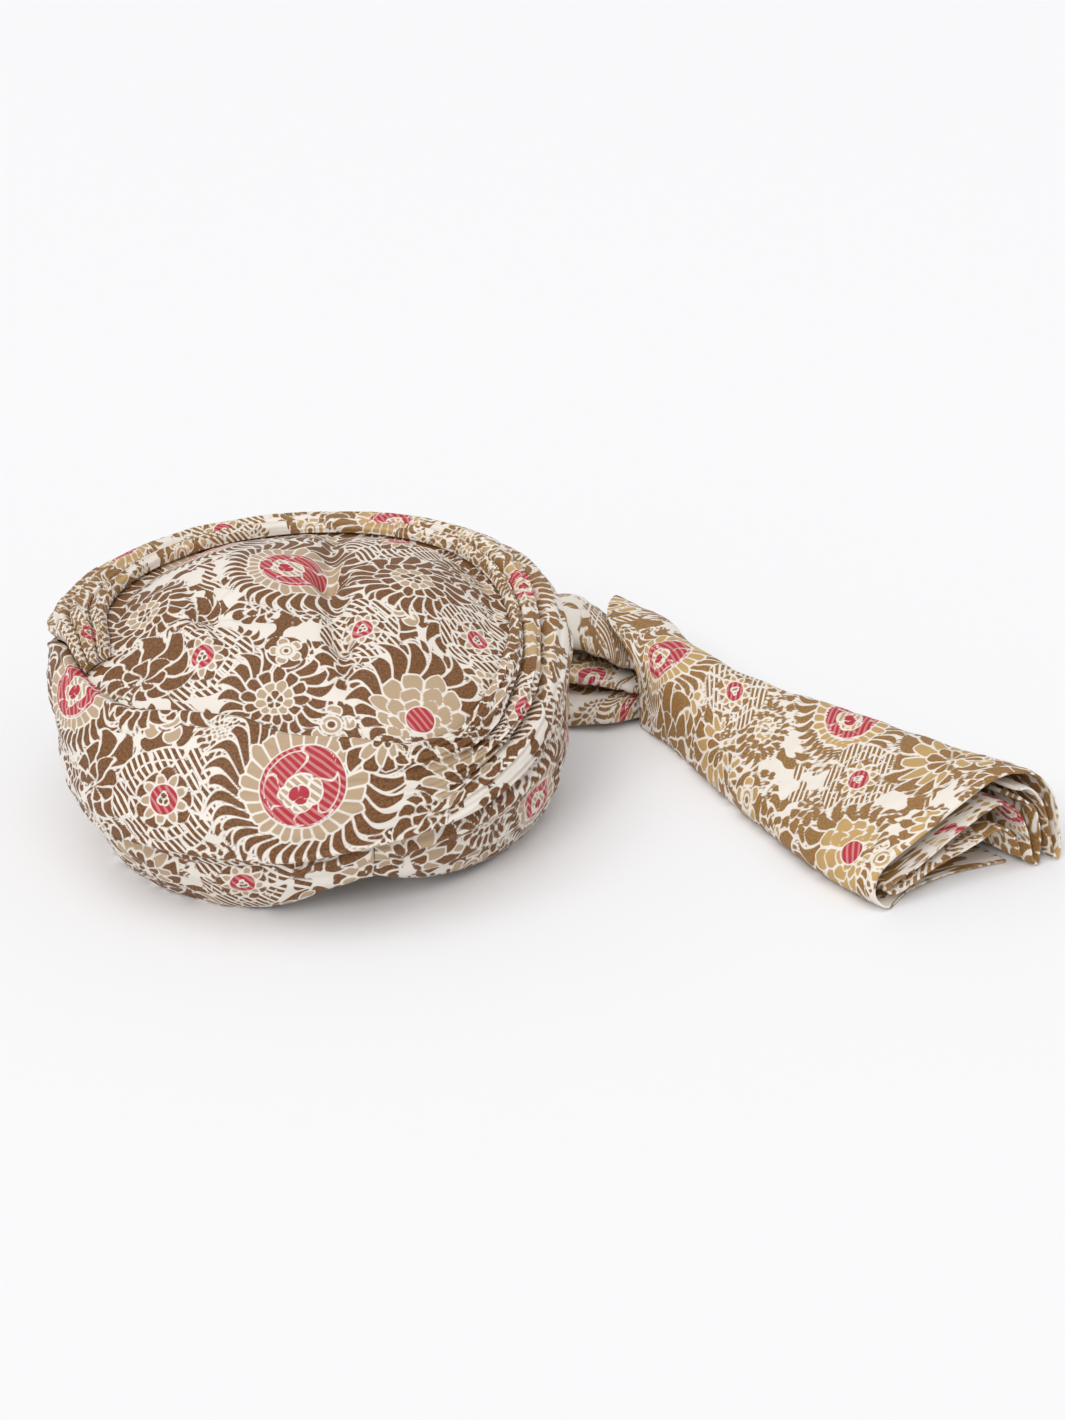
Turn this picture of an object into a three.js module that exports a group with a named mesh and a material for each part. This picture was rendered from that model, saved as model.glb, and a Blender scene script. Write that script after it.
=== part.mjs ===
// Tied turban pagri, taken off the head and stood on its rim with its pleated end laid out beside it.
// Millimetres, +Z up, front towards -Y, the tail towards +X, origin under the middle of the whole.
// Turns are degrees round the winding: 0 at the front, 90 on the right, 180 at the back.
import * as THREE from 'three';
import { mergeVertices } from 'three/addons/utils/BufferGeometryUtils.js';

const RAD = Math.PI / 180;

// Driving sizes
const SEAT = 0.85;            // air between a turn of cloth and the one under it
const LOW_TURN = 3.8;         // thickness of the low turns and of the crown cloth's skirt
const LAP = LOW_TURN + 2 * SEAT;  // how far out the front wrap's edges lie, over its neighbours
const BAND_FACE = 8.8;        // how proud of the winding the front wrap stands
const COIL_GROOVE = 2.6;      // how proud the bottom of a groove between two coils is
const LAP_SHARE = 0.14;       // share of the front wrap's width that laps over its neighbours
const CROWN_CLOTH = 3.5;      // thickness of the puffed crown, several folds of cloth
const CROWN_TOP = 122;        // height of the crown between its two lobes
const TAIL_CLOTH = 2;         // one fold of the tail, two thicknesses of brocade
const CORE_TOP = 0.8;         // level where the wound core ends
const COIL_GAP = 0.008;       // levels between the front wrap's left edge and the coils above it
const CLIMB = { from: 250, to: 268, end: 290 };  // turns where the coils climb on to the crown's skirt
const FLOOR = 0;
const TURN_STEP = 6;

// The hollow for the head: half sizes at the rim and where the crown cloth begins
const HOLLOW = { rimWidth: 82, rimDepth: 97, topWidth: 74, topDepth: 84, topDrop: 7 };

// The wound core's outer face in nine directions: its height and its reach from the middle at the
// levels of LEVELS, from the rim (level 0) to the crown (level 1)
const LEVELS = [0, 0.2, 0.42, 0.62, 0.82, 1];
const PROFILES = [
  { turn: -180, height: [0, 25, 60, 95, 105, 103], reach: [108, 120, 127, 122, 108, 94] },
  { turn: -130, height: [0, 25, 57, 92, 103, 102], reach: [107, 119, 126, 124, 109, 93] },
  { turn: -90, height: [0, 25, 55, 85, 100, 101], reach: [94, 103, 116, 122, 109, 93] },
  { turn: -60, height: [0, 23, 52, 77, 92, 98], reach: [107, 116, 123.5, 121.5, 107, 91] },
  { turn: -40, height: [0, 23, 50, 74, 89, 95], reach: [111, 124, 131, 121, 106, 90] },
  { turn: 0, height: [0, 22, 47, 70, 84, 92], reach: [114, 128, 133, 121, 104, 88] },
  { turn: 45, height: [0, 23, 51, 75, 90, 96], reach: [112, 125, 131, 122, 106, 90] },
  { turn: 90, height: [0, 25, 56, 83, 97, 101], reach: [116, 129, 131, 123, 108, 94] },
  { turn: 130, height: [0, 25, 59, 96, 108, 105], reach: [110, 122, 128, 123, 109, 94] },
  { turn: 180, height: [0, 25, 60, 95, 105, 103], reach: [108, 120, 127, 122, 108, 94] },
];

// Where the rim lifts off the floor, as a level on the core
const RIM = [
  { turn: -180, level: 0 },
  { turn: -18, level: 0 },
  { turn: -6, level: 0.04 },
  { turn: 9, level: 0.17 },
  { turn: 17, level: 0.21 },
  { turn: 26, level: 0.14 },
  { turn: 34, level: 0.10 },
  { turn: 50, level: 0.04 },
  { turn: 66, level: 0 },
  { turn: 180, level: 0 },
];

// The front wrap, from its tucked left end round the front, the right and the back to the left again:
// levels of its low edge, its two grooves and its top edge, how far it is gathered into coils
// (0 flat, 1 rolled), and how proud the outer coil stands
const FRONT_WRAP = [
  { turn: -118, low: 0.33, grooveA: 0.42, grooveB: 0.50, top: 0.58, gather: 0, outerCoil: 8 },
  { turn: -93, low: 0.30, grooveA: 0.42, grooveB: 0.53, top: 0.635, gather: 0, outerCoil: 8 },
  { turn: -76, low: 0.30, grooveA: 0.45, grooveB: 0.60, top: 0.745, gather: 0, outerCoil: 8 },
  { turn: -45, low: 0.30, grooveA: 0.46, grooveB: 0.62, top: 0.775, gather: 0, outerCoil: 8 },
  { turn: -26, low: 0.33, grooveA: 0.51, grooveB: 0.69, top: 0.87, gather: 0, outerCoil: 8 },
  { turn: -14, low: 0.34, grooveA: 0.53, grooveB: 0.71, top: 0.90, gather: 0, outerCoil: 8 },
  { turn: 0, low: 0.35, grooveA: 0.51, grooveB: 0.67, top: 0.83, gather: 0, outerCoil: 8 },
  { turn: 14, low: 0.38, grooveA: 0.52, grooveB: 0.65, top: 0.79, gather: 0, outerCoil: 8 },
  { turn: 30, low: 0.40, grooveA: 0.50, grooveB: 0.60, top: 0.70, gather: 0.05, outerCoil: 8 },
  { turn: 40, low: 0.42, grooveA: 0.52, grooveB: 0.60, top: 0.69, gather: 0.3, outerCoil: 8 },
  { turn: 50, low: 0.44, grooveA: 0.55, grooveB: 0.63, top: 0.74, gather: 0.7, outerCoil: 8.5 },
  { turn: 59, low: 0.46, grooveA: 0.59, grooveB: 0.69, top: 0.79, gather: 1, outerCoil: 9 },
  { turn: 70, low: 0.49, grooveA: 0.65, grooveB: 0.75, top: 0.85, gather: 1, outerCoil: 9 },
  { turn: 84, low: 0.53, grooveA: 0.72, grooveB: 0.82, top: 0.89, gather: 1, outerCoil: 9 },
  { turn: 98, low: 0.53, grooveA: 0.74, grooveB: 0.85, top: 0.93, gather: 1, outerCoil: 11.5 },
  { turn: 125, low: 0.49, grooveA: 0.72, grooveB: 0.85, top: 0.95, gather: 1, outerCoil: 13 },
  { turn: 180, low: 0.47, grooveA: 0.70, grooveB: 0.83, top: 0.94, gather: 1, outerCoil: 13 },
  { turn: 225, low: 0.49, grooveA: 0.71, grooveB: 0.83, top: 0.95, gather: 1, outerCoil: 13 },
  { turn: 250, low: 0.56, grooveA: 0.72, grooveB: 0.83, top: 0.94, gather: 1, outerCoil: 12 },
  { turn: 267, low: 0.62, grooveA: 0.74, grooveB: 0.83, top: 0.93, gather: 1, outerCoil: 12 },
  { turn: 284, low: 0.74, grooveA: 0.80, grooveB: 0.87, top: 0.94, gather: 1, outerCoil: 11 },
  { turn: 296, low: 0.76, grooveA: 0.80, grooveB: 0.85, top: 0.90, gather: 1, outerCoil: 9 },
];

// The low turns: levels of each one's top edge, and how proud it stands over that turn
const BROW_WRAP = [
  { turn: -112, top: 0.34, proud: 3.8 },
  { turn: -93, top: 0.33, proud: 4.0 },
  { turn: -45, top: 0.33, proud: 4.4 },
  { turn: 0, top: 0.38, proud: 4.4 },
  { turn: 16.8, top: 0.41, proud: 4.2 },
];
const SIDE_WRAP = [
  { turn: 18, top: 0.40, proud: 3.6 },
  { turn: 34, top: 0.43, proud: 4.0 },
  { turn: 50, top: 0.46, proud: 4.4 },
  { turn: 76, top: 0.535, proud: 4.4 },
];
const BACK_WRAP = [
  { turn: 77, top: 0.54, proud: 3.4 },
  { turn: 98, top: 0.565, proud: 4.2 },
  { turn: 125, top: 0.53, proud: 4.4 },
  { turn: 180, top: 0.51, proud: 4.4 },
  { turn: 213, top: 0.51, proud: 4.2 },
  { turn: 231, top: 0.42, proud: 4.2 },
  { turn: 246.5, top: 0.34, proud: 4.4 },
];

// Horizontal folds in the low turns: the level where each lies, its depth and its width in levels
const LOW_FOLDS = { side: [{ level: 0.27, depth: 1.6, width: 0.05 }],
  back: [{ level: 0.17, depth: 1.6, width: 0.05 }, { level: 0.34, depth: 1.8, width: 0.05 }] };

// The crown's folds in plan: a line from x, y to endX, endY, how far it rises (or sinks), how wide
const CROWN_FOLDS = [
  { x: 10, y: 78, endX: 12, endY: 5, rise: -7, width: 7 },
  { x: 12, y: 5, endX: 22, endY: -50, rise: -6, width: 7 },
  { x: 22, y: -50, endX: 30, endY: -84, rise: -6, width: 6 },
  { x: -48, y: -31, endX: -46, endY: -29, rise: -6, width: 9 },
  { x: -84, y: -20, endX: -58, endY: -58, rise: -4, width: 6 },
  { x: -70, y: -6, endX: -40, endY: -66, rise: 3, width: 8 },
  { x: -42, y: 34, endX: -30, endY: 20, rise: 5, width: 30 },
  { x: 55, y: 38, endX: 58, endY: 0, rise: 7, width: 30 },
  { x: 78, y: -44, endX: 66, endY: -64, rise: -7, width: 9 },
];

// The tail's footprint, stop by stop: its edge towards the viewer, its far edge, its height, and how
// far the cloth is lifted off the floor. The root comes out of the winding behind and turns to the
// right, and the laid-out part folds over the root's end and runs to the cut end.
const ROOT_PATH = [
  { stop: 0, nearX: 77, nearY: 104.5, farX: 37, farY: 125.5, height: 37, lift: 0 },
  { stop: 1, nearX: 90, nearY: 108, farX: 64, farY: 160, height: 42, lift: 0 },
  { stop: 2, nearX: 107, nearY: 97, farX: 102, farY: 170, height: 47, lift: 0 },
  { stop: 3, nearX: 129, nearY: 78, farX: 138, farY: 168, height: 53, lift: 0 },
  { stop: 4, nearX: 153, nearY: 76, farX: 157, farY: 157, height: 40, lift: 3 },
  { stop: 5, nearX: 180, nearY: 88, farX: 193, farY: 113, height: 28, lift: 3.4 },
];
const TAIL_PATH = [
  { stop: 0, nearX: 175, nearY: 77, farX: 168, farY: 173, height: 47, lift: 0 },
  { stop: 1, nearX: 179, nearY: 70, farX: 194, farY: 146, height: 45, lift: 0 },
  { stop: 2, nearX: 186, nearY: 60, farX: 208, farY: 106, height: 44, lift: 0 },
  { stop: 3, nearX: 196, nearY: 38, farX: 226, farY: 76, height: 43, lift: 0 },
  { stop: 4, nearX: 208, nearY: 8, farX: 254, farY: 50, height: 43, lift: 0 },
  { stop: 5, nearX: 222, nearY: -25, farX: 286, farY: 22, height: 44, lift: 0 },
  { stop: 6, nearX: 237, nearY: -57, farX: 317, farY: -5, height: 45, lift: 0 },
  { stop: 7, nearX: 252, nearY: -85, farX: 344, farY: -30, height: 47, lift: 0 },
  { stop: 8, nearX: 266, nearY: -105, farX: 364, farY: -50, height: 49, lift: 0 },
  { stop: 9, nearX: 279, nearY: -122, farX: 380, farY: -68, height: 50, lift: 0 },
];
const LIP_BULGE = 14;         // how far the laid-out part's start bulges back over the root
const END_LEAN = 14;          // how far the top of the cut end lies behind its feet

// Sections of the tail's folded cloth, point by point along the cloth, as shares of width and height:
// across 0 is the edge towards the viewer, up 0 the floor. A section changes from its start to its end,
// and `set` is how far a point of the cut end lies back.
const ROOT_FOLDS = [
  { across: 0.92, up: 0.03 }, { across: 0.50, up: 0.03 }, { across: 0.06, up: 0.03 },
  { across: 0.01, up: 0.12 }, { across: 0.09, up: 0.24 }, { across: 0.40, up: 0.25 },
  { across: 0.49, up: 0.31 }, { across: 0.40, up: 0.365 }, { across: 0.27, up: 0.375 },
  { across: 0.21, up: 0.43 }, { across: 0.28, up: 0.49 }, { across: 0.60, up: 0.48 },
  { across: 0.88, up: 0.49 },
  { across: 0.97, up: 0.62 }, { across: 0.90, up: 0.86 }, { across: 0.66, up: 0.97 },
  { across: 0.46, up: 0.91 }, { across: 0.355, up: 0.77 }, { across: 0.42, up: 0.655 },
  { across: 0.66, up: 0.68 },
];
const OUTER_FOLDS = [
  { startAcross: 0.80, startUp: 0.03, across: 0.76, up: 0.03, set: 10 },
  { startAcross: 0.50, startUp: 0.03, across: 0.50, up: 0.03, set: 13 },
  { startAcross: 0.22, startUp: 0.03, across: 0.24, up: 0.03, set: 9 },
  { startAcross: 0.05, startUp: 0.03, across: 0.08, up: 0.035 },
  { startAcross: 0.01, startUp: 0.13, across: 0.02, up: 0.13 },
  { startAcross: 0.01, startUp: 0.34, across: 0.02, up: 0.27 },
  { startAcross: 0.04, startUp: 0.62, across: 0.08, up: 0.43 },
  { startAcross: 0.14, startUp: 0.86, across: 0.27, up: 0.62 },
  { startAcross: 0.32, startUp: 0.97, across: 0.49, up: 0.81 },
  { startAcross: 0.54, startUp: 0.99, across: 0.67, up: 0.94 },
  { startAcross: 0.74, startUp: 0.98, across: 0.79, up: 0.975 },
  { startAcross: 0.90, startUp: 0.90, across: 0.90, up: 0.90 },
  { startAcross: 0.975, startUp: 0.70, across: 0.965, up: 0.70 },
  { startAcross: 0.99, startUp: 0.42, across: 0.985, up: 0.42 },
  { startAcross: 0.99, startUp: 0.15, across: 0.99, up: 0.15 },
  { startAcross: 0.975, startUp: 0.035, across: 0.975, up: 0.035 },
  { startAcross: 0.93, startUp: 0.12, across: 0.955, up: 0.12 },
  { startAcross: 0.90, startUp: 0.38, across: 0.945, up: 0.38 },
  { startAcross: 0.88, startUp: 0.62, across: 0.915, up: 0.62 },
  { startAcross: 0.83, startUp: 0.76, across: 0.86, up: 0.78 },
  { startAcross: 0.74, startUp: 0.80, across: 0.80, up: 0.80 },
];
const PLEAT_FOLDS = [
  { across: 0.82, up: 0.69 }, { across: 0.877, up: 0.57 }, { across: 0.895, up: 0.30 },
  { across: 0.88, up: 0.09 }, { across: 0.855, up: 0.035 }, { across: 0.832, up: 0.12 },
  { across: 0.825, up: 0.32 }, { across: 0.79, up: 0.55 }, { across: 0.70, up: 0.71 },
  { across: 0.53, up: 0.61 }, { across: 0.32, up: 0.43 }, { across: 0.15, up: 0.28 },
  { across: 0.085, up: 0.20 }, { across: 0.13, up: 0.145 }, { across: 0.32, up: 0.27 },
  { across: 0.53, up: 0.40 }, { across: 0.69, up: 0.47 }, { across: 0.755, up: 0.33 },
  { across: 0.775, up: 0.15 },
];
const ROOT_RUN = { path: ROOT_PATH, from: 0, to: 5, step: 0.5 };
const OUTER_RUN = { path: TAIL_PATH, from: 0, to: 9, step: 0.5 };
const PLEAT_RUN = { path: TAIL_PATH, from: 4.5, to: 9, step: 0.5 };
const MORPH_STOPS = 6;        // stops over which the laid-out part's section settles

// A smooth value read between the rows of a table, with no overshoot past them
function along(rows, key, column, at) {
  const last = rows.length - 1;
  const x = Math.min(Math.max(at, rows[0][key]), rows[last][key]);
  let i = 0;
  while (i < last - 1 && x > rows[i + 1][key]) i++;
  const rise = (j) => (rows[j + 1][column] - rows[j][column]) / (rows[j + 1][key] - rows[j][key]);
  const slope = (j) => {
    if (j === 0) return rise(0);
    if (j === last) return rise(last - 1);
    const before = rise(j - 1);
    const after = rise(j);
    return before * after <= 0 ? 0 : (2 * before * after) / (before + after);
  };
  const span = rows[i + 1][key] - rows[i][key];
  const t = (x - rows[i][key]) / span;
  const ease = t * t * (3 - 2 * t);
  return rows[i][column] * (1 - ease) + rows[i + 1][column] * ease
    + span * (slope(i) * t * (1 - t) ** 2 - slope(i + 1) * t * t * (1 - t));
}

// A turn brought between -180 and 180 degrees
const wrapTurn = (turn) => ((((turn + 180) % 360) + 360) % 360) - 180;

// The core's profiles as two tables, a row for each direction and a column for each level
const byLevel = (part) => PROFILES.map((row) => ({ turn: row.turn, ...row[part] }));
const HEIGHTS = byLevel('height');
const REACHES = byLevel('reach');

// A point of the core's outer face
function corePoint(turn, level) {
  const facing = wrapTurn(turn);
  const read = (table) => {
    const rows = LEVELS.map((step, i) => ({ level: step, value: along(table, 'turn', i, facing) }));
    return along(rows, 'level', 'value', level);
  };
  const reach = read(REACHES);
  return new THREE.Vector3(reach * Math.sin(turn * RAD), -reach * Math.cos(turn * RAD), read(HEIGHTS));
}

// The point that stands proud of the core's outer face by a height, never below the floor
function proudPoint(turn, level, height) {
  const nudge = 0.004;
  const upper = corePoint(turn, Math.min(level + nudge, 1));
  const rise = upper.sub(corePoint(turn, Math.max(level - nudge, 0)));
  const sweep = corePoint(turn + 0.5, level).sub(corePoint(turn - 0.5, level));
  const out = new THREE.Vector3().crossVectors(sweep, rise).normalize();
  const point = corePoint(turn, level).addScaledVector(out, height);
  point.z = Math.max(point.z, FLOOR);
  return point;
}

// One closed body skinned over rings of points. Each ring runs out along one face and back along the
// other: `face` is how many points the first face has. A looped body's last ring meets its first.
function skin(rings, face, { looped = false, chained = false } = {}) {
  const size = rings[0].length;
  const points = rings.flat();
  const triangles = [];
  const add = (a, b, c) => {
    const [p, q, r] = [points[a], points[b], points[c]];
    if (p.distanceTo(q) > 1e-3 && q.distanceTo(r) > 1e-3 && r.distanceTo(p) > 1e-3) triangles.push(a, b, c);
  };
  const bands = looped ? rings.length : rings.length - 1;
  const steps = chained ? size - 1 : size;
  for (let i = 0; i < bands; i++) {
    const here = i * size;
    const next = ((i + 1) % rings.length) * size;
    for (let j = 0; j < steps; j++) {
      const k = (j + 1) % size;
      add(here + j, next + j, next + k);
      add(here + j, next + k, here + k);
    }
  }
  if (!looped) {
    capEnd(0, false);
    capEnd((rings.length - 1) * size, true);
  }
  function capEnd(start, far) {
    let outer = 0;
    let inner = size - 1;
    const put = (a, b, c) => (far ? add(start + a, start + b, start + c) : add(start + a, start + c, start + b));
    while (outer < face - 1 || inner > face) {
      const outerShare = outer / (face - 1);
      const innerShare = (size - 1 - inner) / (size - 1 - face);
      if (inner === face || (outer < face - 1 && outerShare <= innerShare)) {
        put(outer, inner, outer + 1);
        outer++;
      } else {
        put(outer, inner, inner - 1);
        inner--;
      }
    }
  }
  const geometry = new THREE.BufferGeometry();
  geometry.setAttribute('position', new THREE.Float32BufferAttribute(points.flatMap((p) => p.toArray()), 3));
  geometry.setIndex(triangles);
  if (signedVolume(geometry) < 0) geometry.index.array.reverse();
  const merged = mergeVertices(geometry, 1e-3);
  merged.computeVertexNormals();
  return merged;
}

// Six times the volume that a mesh's faces enclose, negative where they point in
function signedVolume(geometry) {
  const place = geometry.getAttribute('position');
  const index = geometry.index.array;
  const [a, b, c] = [new THREE.Vector3(), new THREE.Vector3(), new THREE.Vector3()];
  let sum = 0;
  for (let i = 0; i < index.length; i += 3) {
    a.fromBufferAttribute(place, index[i]);
    b.fromBufferAttribute(place, index[i + 1]);
    c.fromBufferAttribute(place, index[i + 2]);
    sum += a.dot(b.cross(c));
  }
  return sum;
}

const steps = (from, to, step) => {
  const count = Math.max(1, Math.round((to - from) / step));
  return Array.from({ length: count + 1 }, (_, i) => from + ((to - from) * i) / count);
};

// The inner turns of the winding: a thick ring with a flat rim round the open hollow
function woundCore() {
  const levels = [0, 0.2, 0.4, 0.55, 0.68, CORE_TOP];
  const rings = steps(-180, 180 - TURN_STEP, TURN_STEP).map((turn) => {
    const rimLevel = along(RIM, 'turn', 'level', turn);
    const start = rimLevel > 0 ? rimLevel + 0.03 : 0;
    const outer = levels.map((level) => corePoint(turn, start + (level * (CORE_TOP - start)) / CORE_TOP));
    const s = Math.sin(turn * RAD);
    const c = Math.cos(turn * RAD);
    const top = outer[outer.length - 1].z - HOLLOW.topDrop;
    const wall = [1, 0.5, 0].map((share) => new THREE.Vector3(
      THREE.MathUtils.lerp(HOLLOW.rimWidth, HOLLOW.topWidth, share) * s,
      -THREE.MathUtils.lerp(HOLLOW.rimDepth, HOLLOW.topDepth, share) * c,
      THREE.MathUtils.lerp(outer[0].z, top, share)));
    return [...outer, ...wall];
  });
  return skin(rings, levels.length, { looped: true });
}

// How proud the front wrap stands at a turn, a share of the way across one of its three coils
function frontHeight(row, coil, share) {
  const flat = (2 * (coil + share)) / 3 - 1;
  const band = BAND_FACE - 2.5 * flat ** 8 - 0.4 * flat ** 2;
  const crest = coil === 0 ? row.outerCoil : Math.min(row.outerCoil, BAND_FACE + 0.5);
  const atEdge = (coil === 0 && share < 0.5) || (coil === 2 && share > 0.5);
  const groove = Math.max(COIL_GROOVE, (atEdge ? LAP : row.inside) + 0.6);
  const roll = groove + Math.max(crest - groove, 0) * Math.sqrt(Math.max(0, 1 - (2 * share - 1) ** 2));
  return THREE.MathUtils.lerp(band, roll, row.gather);
}

// The front wrap's row at a turn
function frontRow(turn) {
  const row = {};
  for (const column of Object.keys(FRONT_WRAP[0])) row[column] = along(FRONT_WRAP, 'turn', column, turn);
  if (turn >= FRONT_WRAP[0].turn + 360) {
    row.low = Math.max(row.low, along(FRONT_WRAP, 'turn', 'top', turn - 360) + COIL_GAP);
  }
  row.inside = THREE.MathUtils.lerp(SEAT, LAP, THREE.MathUtils.smoothstep(turn, CLIMB.from, CLIMB.to));
  return row;
}

// The broad front turn and the coils that it gathers into
function frontWrap() {
  const shares = [0, 0.13, 0.5, 0.87];
  const rings = steps(FRONT_WRAP[0].turn, FRONT_WRAP.at(-1).turn, TURN_STEP).map((turn) => {
    const row = frontRow(turn);
    const edges = [row.low, row.grooveA, row.grooveB, row.top];
    const outer = [];
    for (let coil = 0; coil < 3; coil++) {
      for (const share of shares) {
        const level = THREE.MathUtils.lerp(edges[coil], edges[coil + 1], share);
        outer.push(proudPoint(turn, level, frontHeight(row, coil, share)));
      }
    }
    outer.push(proudPoint(turn, row.top, frontHeight(row, 2, 1)));
    const inner = [[1, LAP], [1 - LAP_SHARE, LAP], [1 - 1.3 * LAP_SHARE, row.inside], [0.72, row.inside],
      [0.59, row.inside], [0.42, row.inside], [1.3 * LAP_SHARE, row.inside], [LAP_SHARE, LAP], [0, LAP]];
    return [...outer, ...inner.map(([share, height]) => (
      proudPoint(turn, THREE.MathUtils.lerp(row.low, row.top, share), height)))];
  });
  return skin(rings, 3 * shares.length + 1);
}

// A low turn between the rim and its own top edge, with its folds
function lowTurn(rows, folds) {
  const shares = [0, 0.1, 0.25, 0.4, 0.55, 0.7, 0.85, 1];
  const rings = steps(rows[0].turn, rows.at(-1).turn, TURN_STEP).map((turn) => {
    const rim = along(RIM, 'turn', 'level', wrapTurn(turn));
    const top = along(rows, 'turn', 'top', turn);
    const proud = along(rows, 'turn', 'proud', turn);
    const outer = shares.map((share) => {
      const level = THREE.MathUtils.lerp(rim, top, share);
      const dip = folds.reduce((sum, fold) => sum
        + fold.depth * Math.exp(-(((level - fold.level) / fold.width) ** 2)), 0);
      return proudPoint(turn, level, proud - dip - 1.4 * (2 * share - 1) ** 8);
    });
    const inner = [1, 0.83, 0.67, 0.5, 0.33, 0.17, 0].map((share) => (
      proudPoint(turn, THREE.MathUtils.lerp(rim, top, share), SEAT)));
    return [...outer, ...inner];
  });
  return skin(rings, shares.length);
}

// How far a place in plan is from a fold's line
function foldDistance(fold, x, y) {
  const dx = fold.endX - fold.x;
  const dy = fold.endY - fold.y;
  const t = THREE.MathUtils.clamp(((x - fold.x) * dx + (y - fold.y) * dy) / (dx * dx + dy * dy), 0, 1);
  return Math.hypot(x - fold.x - t * dx, y - fold.y - t * dy);
}

// A point of the puffed crown: reach 0 in the middle, 1 where the crown meets the winding
function crownPoint(turn, reach, sink) {
  const edge = proudPoint(turn, 1, LOW_TURN);
  const c = Math.cos(turn * RAD);
  const fullness = c > 0 ? THREE.MathUtils.lerp(3.6, 2.3, c * c) : THREE.MathUtils.lerp(3.6, 5, c * c);
  const x = edge.x * reach;
  const y = edge.y * reach;
  const folds = CROWN_FOLDS.reduce((sum, fold) => sum
    + fold.rise * Math.exp(-((foldDistance(fold, x, y) / fold.width) ** 2)), 0);
  const hold = 1 - reach ** 6;
  const z = CROWN_TOP - (CROWN_TOP - edge.z) * reach ** fullness + folds * hold;
  return new THREE.Vector3(x * (1 - (sink * reach) / Math.hypot(edge.x, edge.y)),
    y * (1 - (sink * reach) / Math.hypot(edge.x, edge.y)), z - sink);
}

// The level where the crown's skirt ends at a turn, under the lap of the front wrap or of the coils
function crownEdge(turn) {
  const under = (row) => row.top - 0.8 * LAP_SHARE * (row.top - row.low);
  const band = under(frontRow(turn));
  const wound = turn + 360;
  if (turn > 0 || wound > CLIMB.end) return band;
  if (wound < 180) return band;
  return THREE.MathUtils.lerp(under(frontRow(wound)), band, THREE.MathUtils.smoothstep(wound, CLIMB.to, CLIMB.end));
}

// The crown cloth: a puffed dome whose skirt is tucked down inside the coils
function crownCloth() {
  const reaches = [0, 0.16, 0.32, 0.46, 0.58, 0.69, 0.79, 0.88, 0.95];
  const insides = [0.95, 0.8, 0.64, 0.46, 0.32, 0.16, 0];
  const rings = steps(-180, 180 - TURN_STEP, TURN_STEP).map((turn) => {
    const edge = crownEdge(turn);
    const skirt = [1, 0.7, 0.4, 0.15, 0].map((share) => (
      proudPoint(turn, THREE.MathUtils.lerp(edge, 1, share), LOW_TURN)));
    const lining = [0, 0.33, 0.67, 1].map((share) => proudPoint(turn, THREE.MathUtils.lerp(edge, 1, share), SEAT));
    return [...reaches.map((reach) => crownPoint(turn, reach, 0)), ...skirt, ...lining,
      ...insides.map((reach) => crownPoint(turn, reach, CROWN_CLOTH))];
  });
  return skin(rings, reaches.length, { looped: true, chained: true });
}

// A section of the tail at a stop: the folded cloth's two faces, a cloth's thickness apart
function tailSection(folds, path, stop) {
  const row = {};
  for (const column of Object.keys(path[0])) row[column] = along(path, 'stop', column, stop);
  const near = new THREE.Vector3(row.nearX, row.nearY, 0);
  const reach = new THREE.Vector3(row.farX, row.farY, 0).sub(near);
  const width = reach.length();
  reach.normalize();
  const forward = new THREE.Vector3(reach.y, -reach.x, 0);
  const settled = THREE.MathUtils.smoothstep(stop, 0, MORPH_STOPS);
  const line = folds.map((fold) => new THREE.Vector2(
    width * THREE.MathUtils.lerp(fold.startAcross ?? fold.across, fold.across, settled),
    Math.max(row.height * THREE.MathUtils.lerp(fold.startUp ?? fold.up, fold.up, settled), TAIL_CLOTH / 2)));
  const side = (sign) => line.map((point, i) => {
    const run = line[Math.min(i + 1, line.length - 1)].clone().sub(line[Math.max(i - 1, 0)]).normalize();
    const across = point.x - (sign * run.y * TAIL_CLOTH) / 2;
    const up = Math.max(point.y + (sign * run.x * TAIL_CLOTH) / 2, FLOOR);
    const high = up / row.height;
    const atEnd = (stop / path.at(-1).stop) ** 4;
    const back = path === ROOT_PATH ? 0 : (folds[i].set ?? 0) * atEnd + high * (END_LEAN * atEnd
      + 4 * LIP_BULGE * (1 - settled) ** 2 * (across / width) * (1 - across / width));
    return near.clone().addScaledVector(reach, across).addScaledVector(forward, -back).setZ(up + row.lift);
  });
  return [...side(1), ...side(-1).reverse()];
}

function tailPiece(folds, { path, from, to, step }) {
  return skin(steps(from, to, step).map((stop) => tailSection(folds, path, stop)), folds.length);
}

// Woven brocade: cream satin ground, brown and gilt figures
const brocade = (colour) => new THREE.MeshStandardMaterial({ color: colour, roughness: 0.6, metalness: 0 });
const CREAM = 0xe9e0d2;
const BROWN = 0x8a6240;
const GILT = 0xb8935a;

const PIECES = [
  ['wound_core', woundCore(), CREAM],
  ['crown_cloth', crownCloth(), CREAM],
  ['brow_wrap', lowTurn(BROW_WRAP, []), BROWN],
  ['side_wrap', lowTurn(SIDE_WRAP, LOW_FOLDS.side), BROWN],
  ['back_wrap', lowTurn(BACK_WRAP, LOW_FOLDS.back), BROWN],
  ['front_wrap', frontWrap(), CREAM],
  ['tail_root', tailPiece(ROOT_FOLDS, ROOT_RUN), GILT],
  ['tail_outer', tailPiece(OUTER_FOLDS, OUTER_RUN), CREAM],
  ['tail_pleats', tailPiece(PLEAT_FOLDS, PLEAT_RUN), GILT],
];

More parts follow.
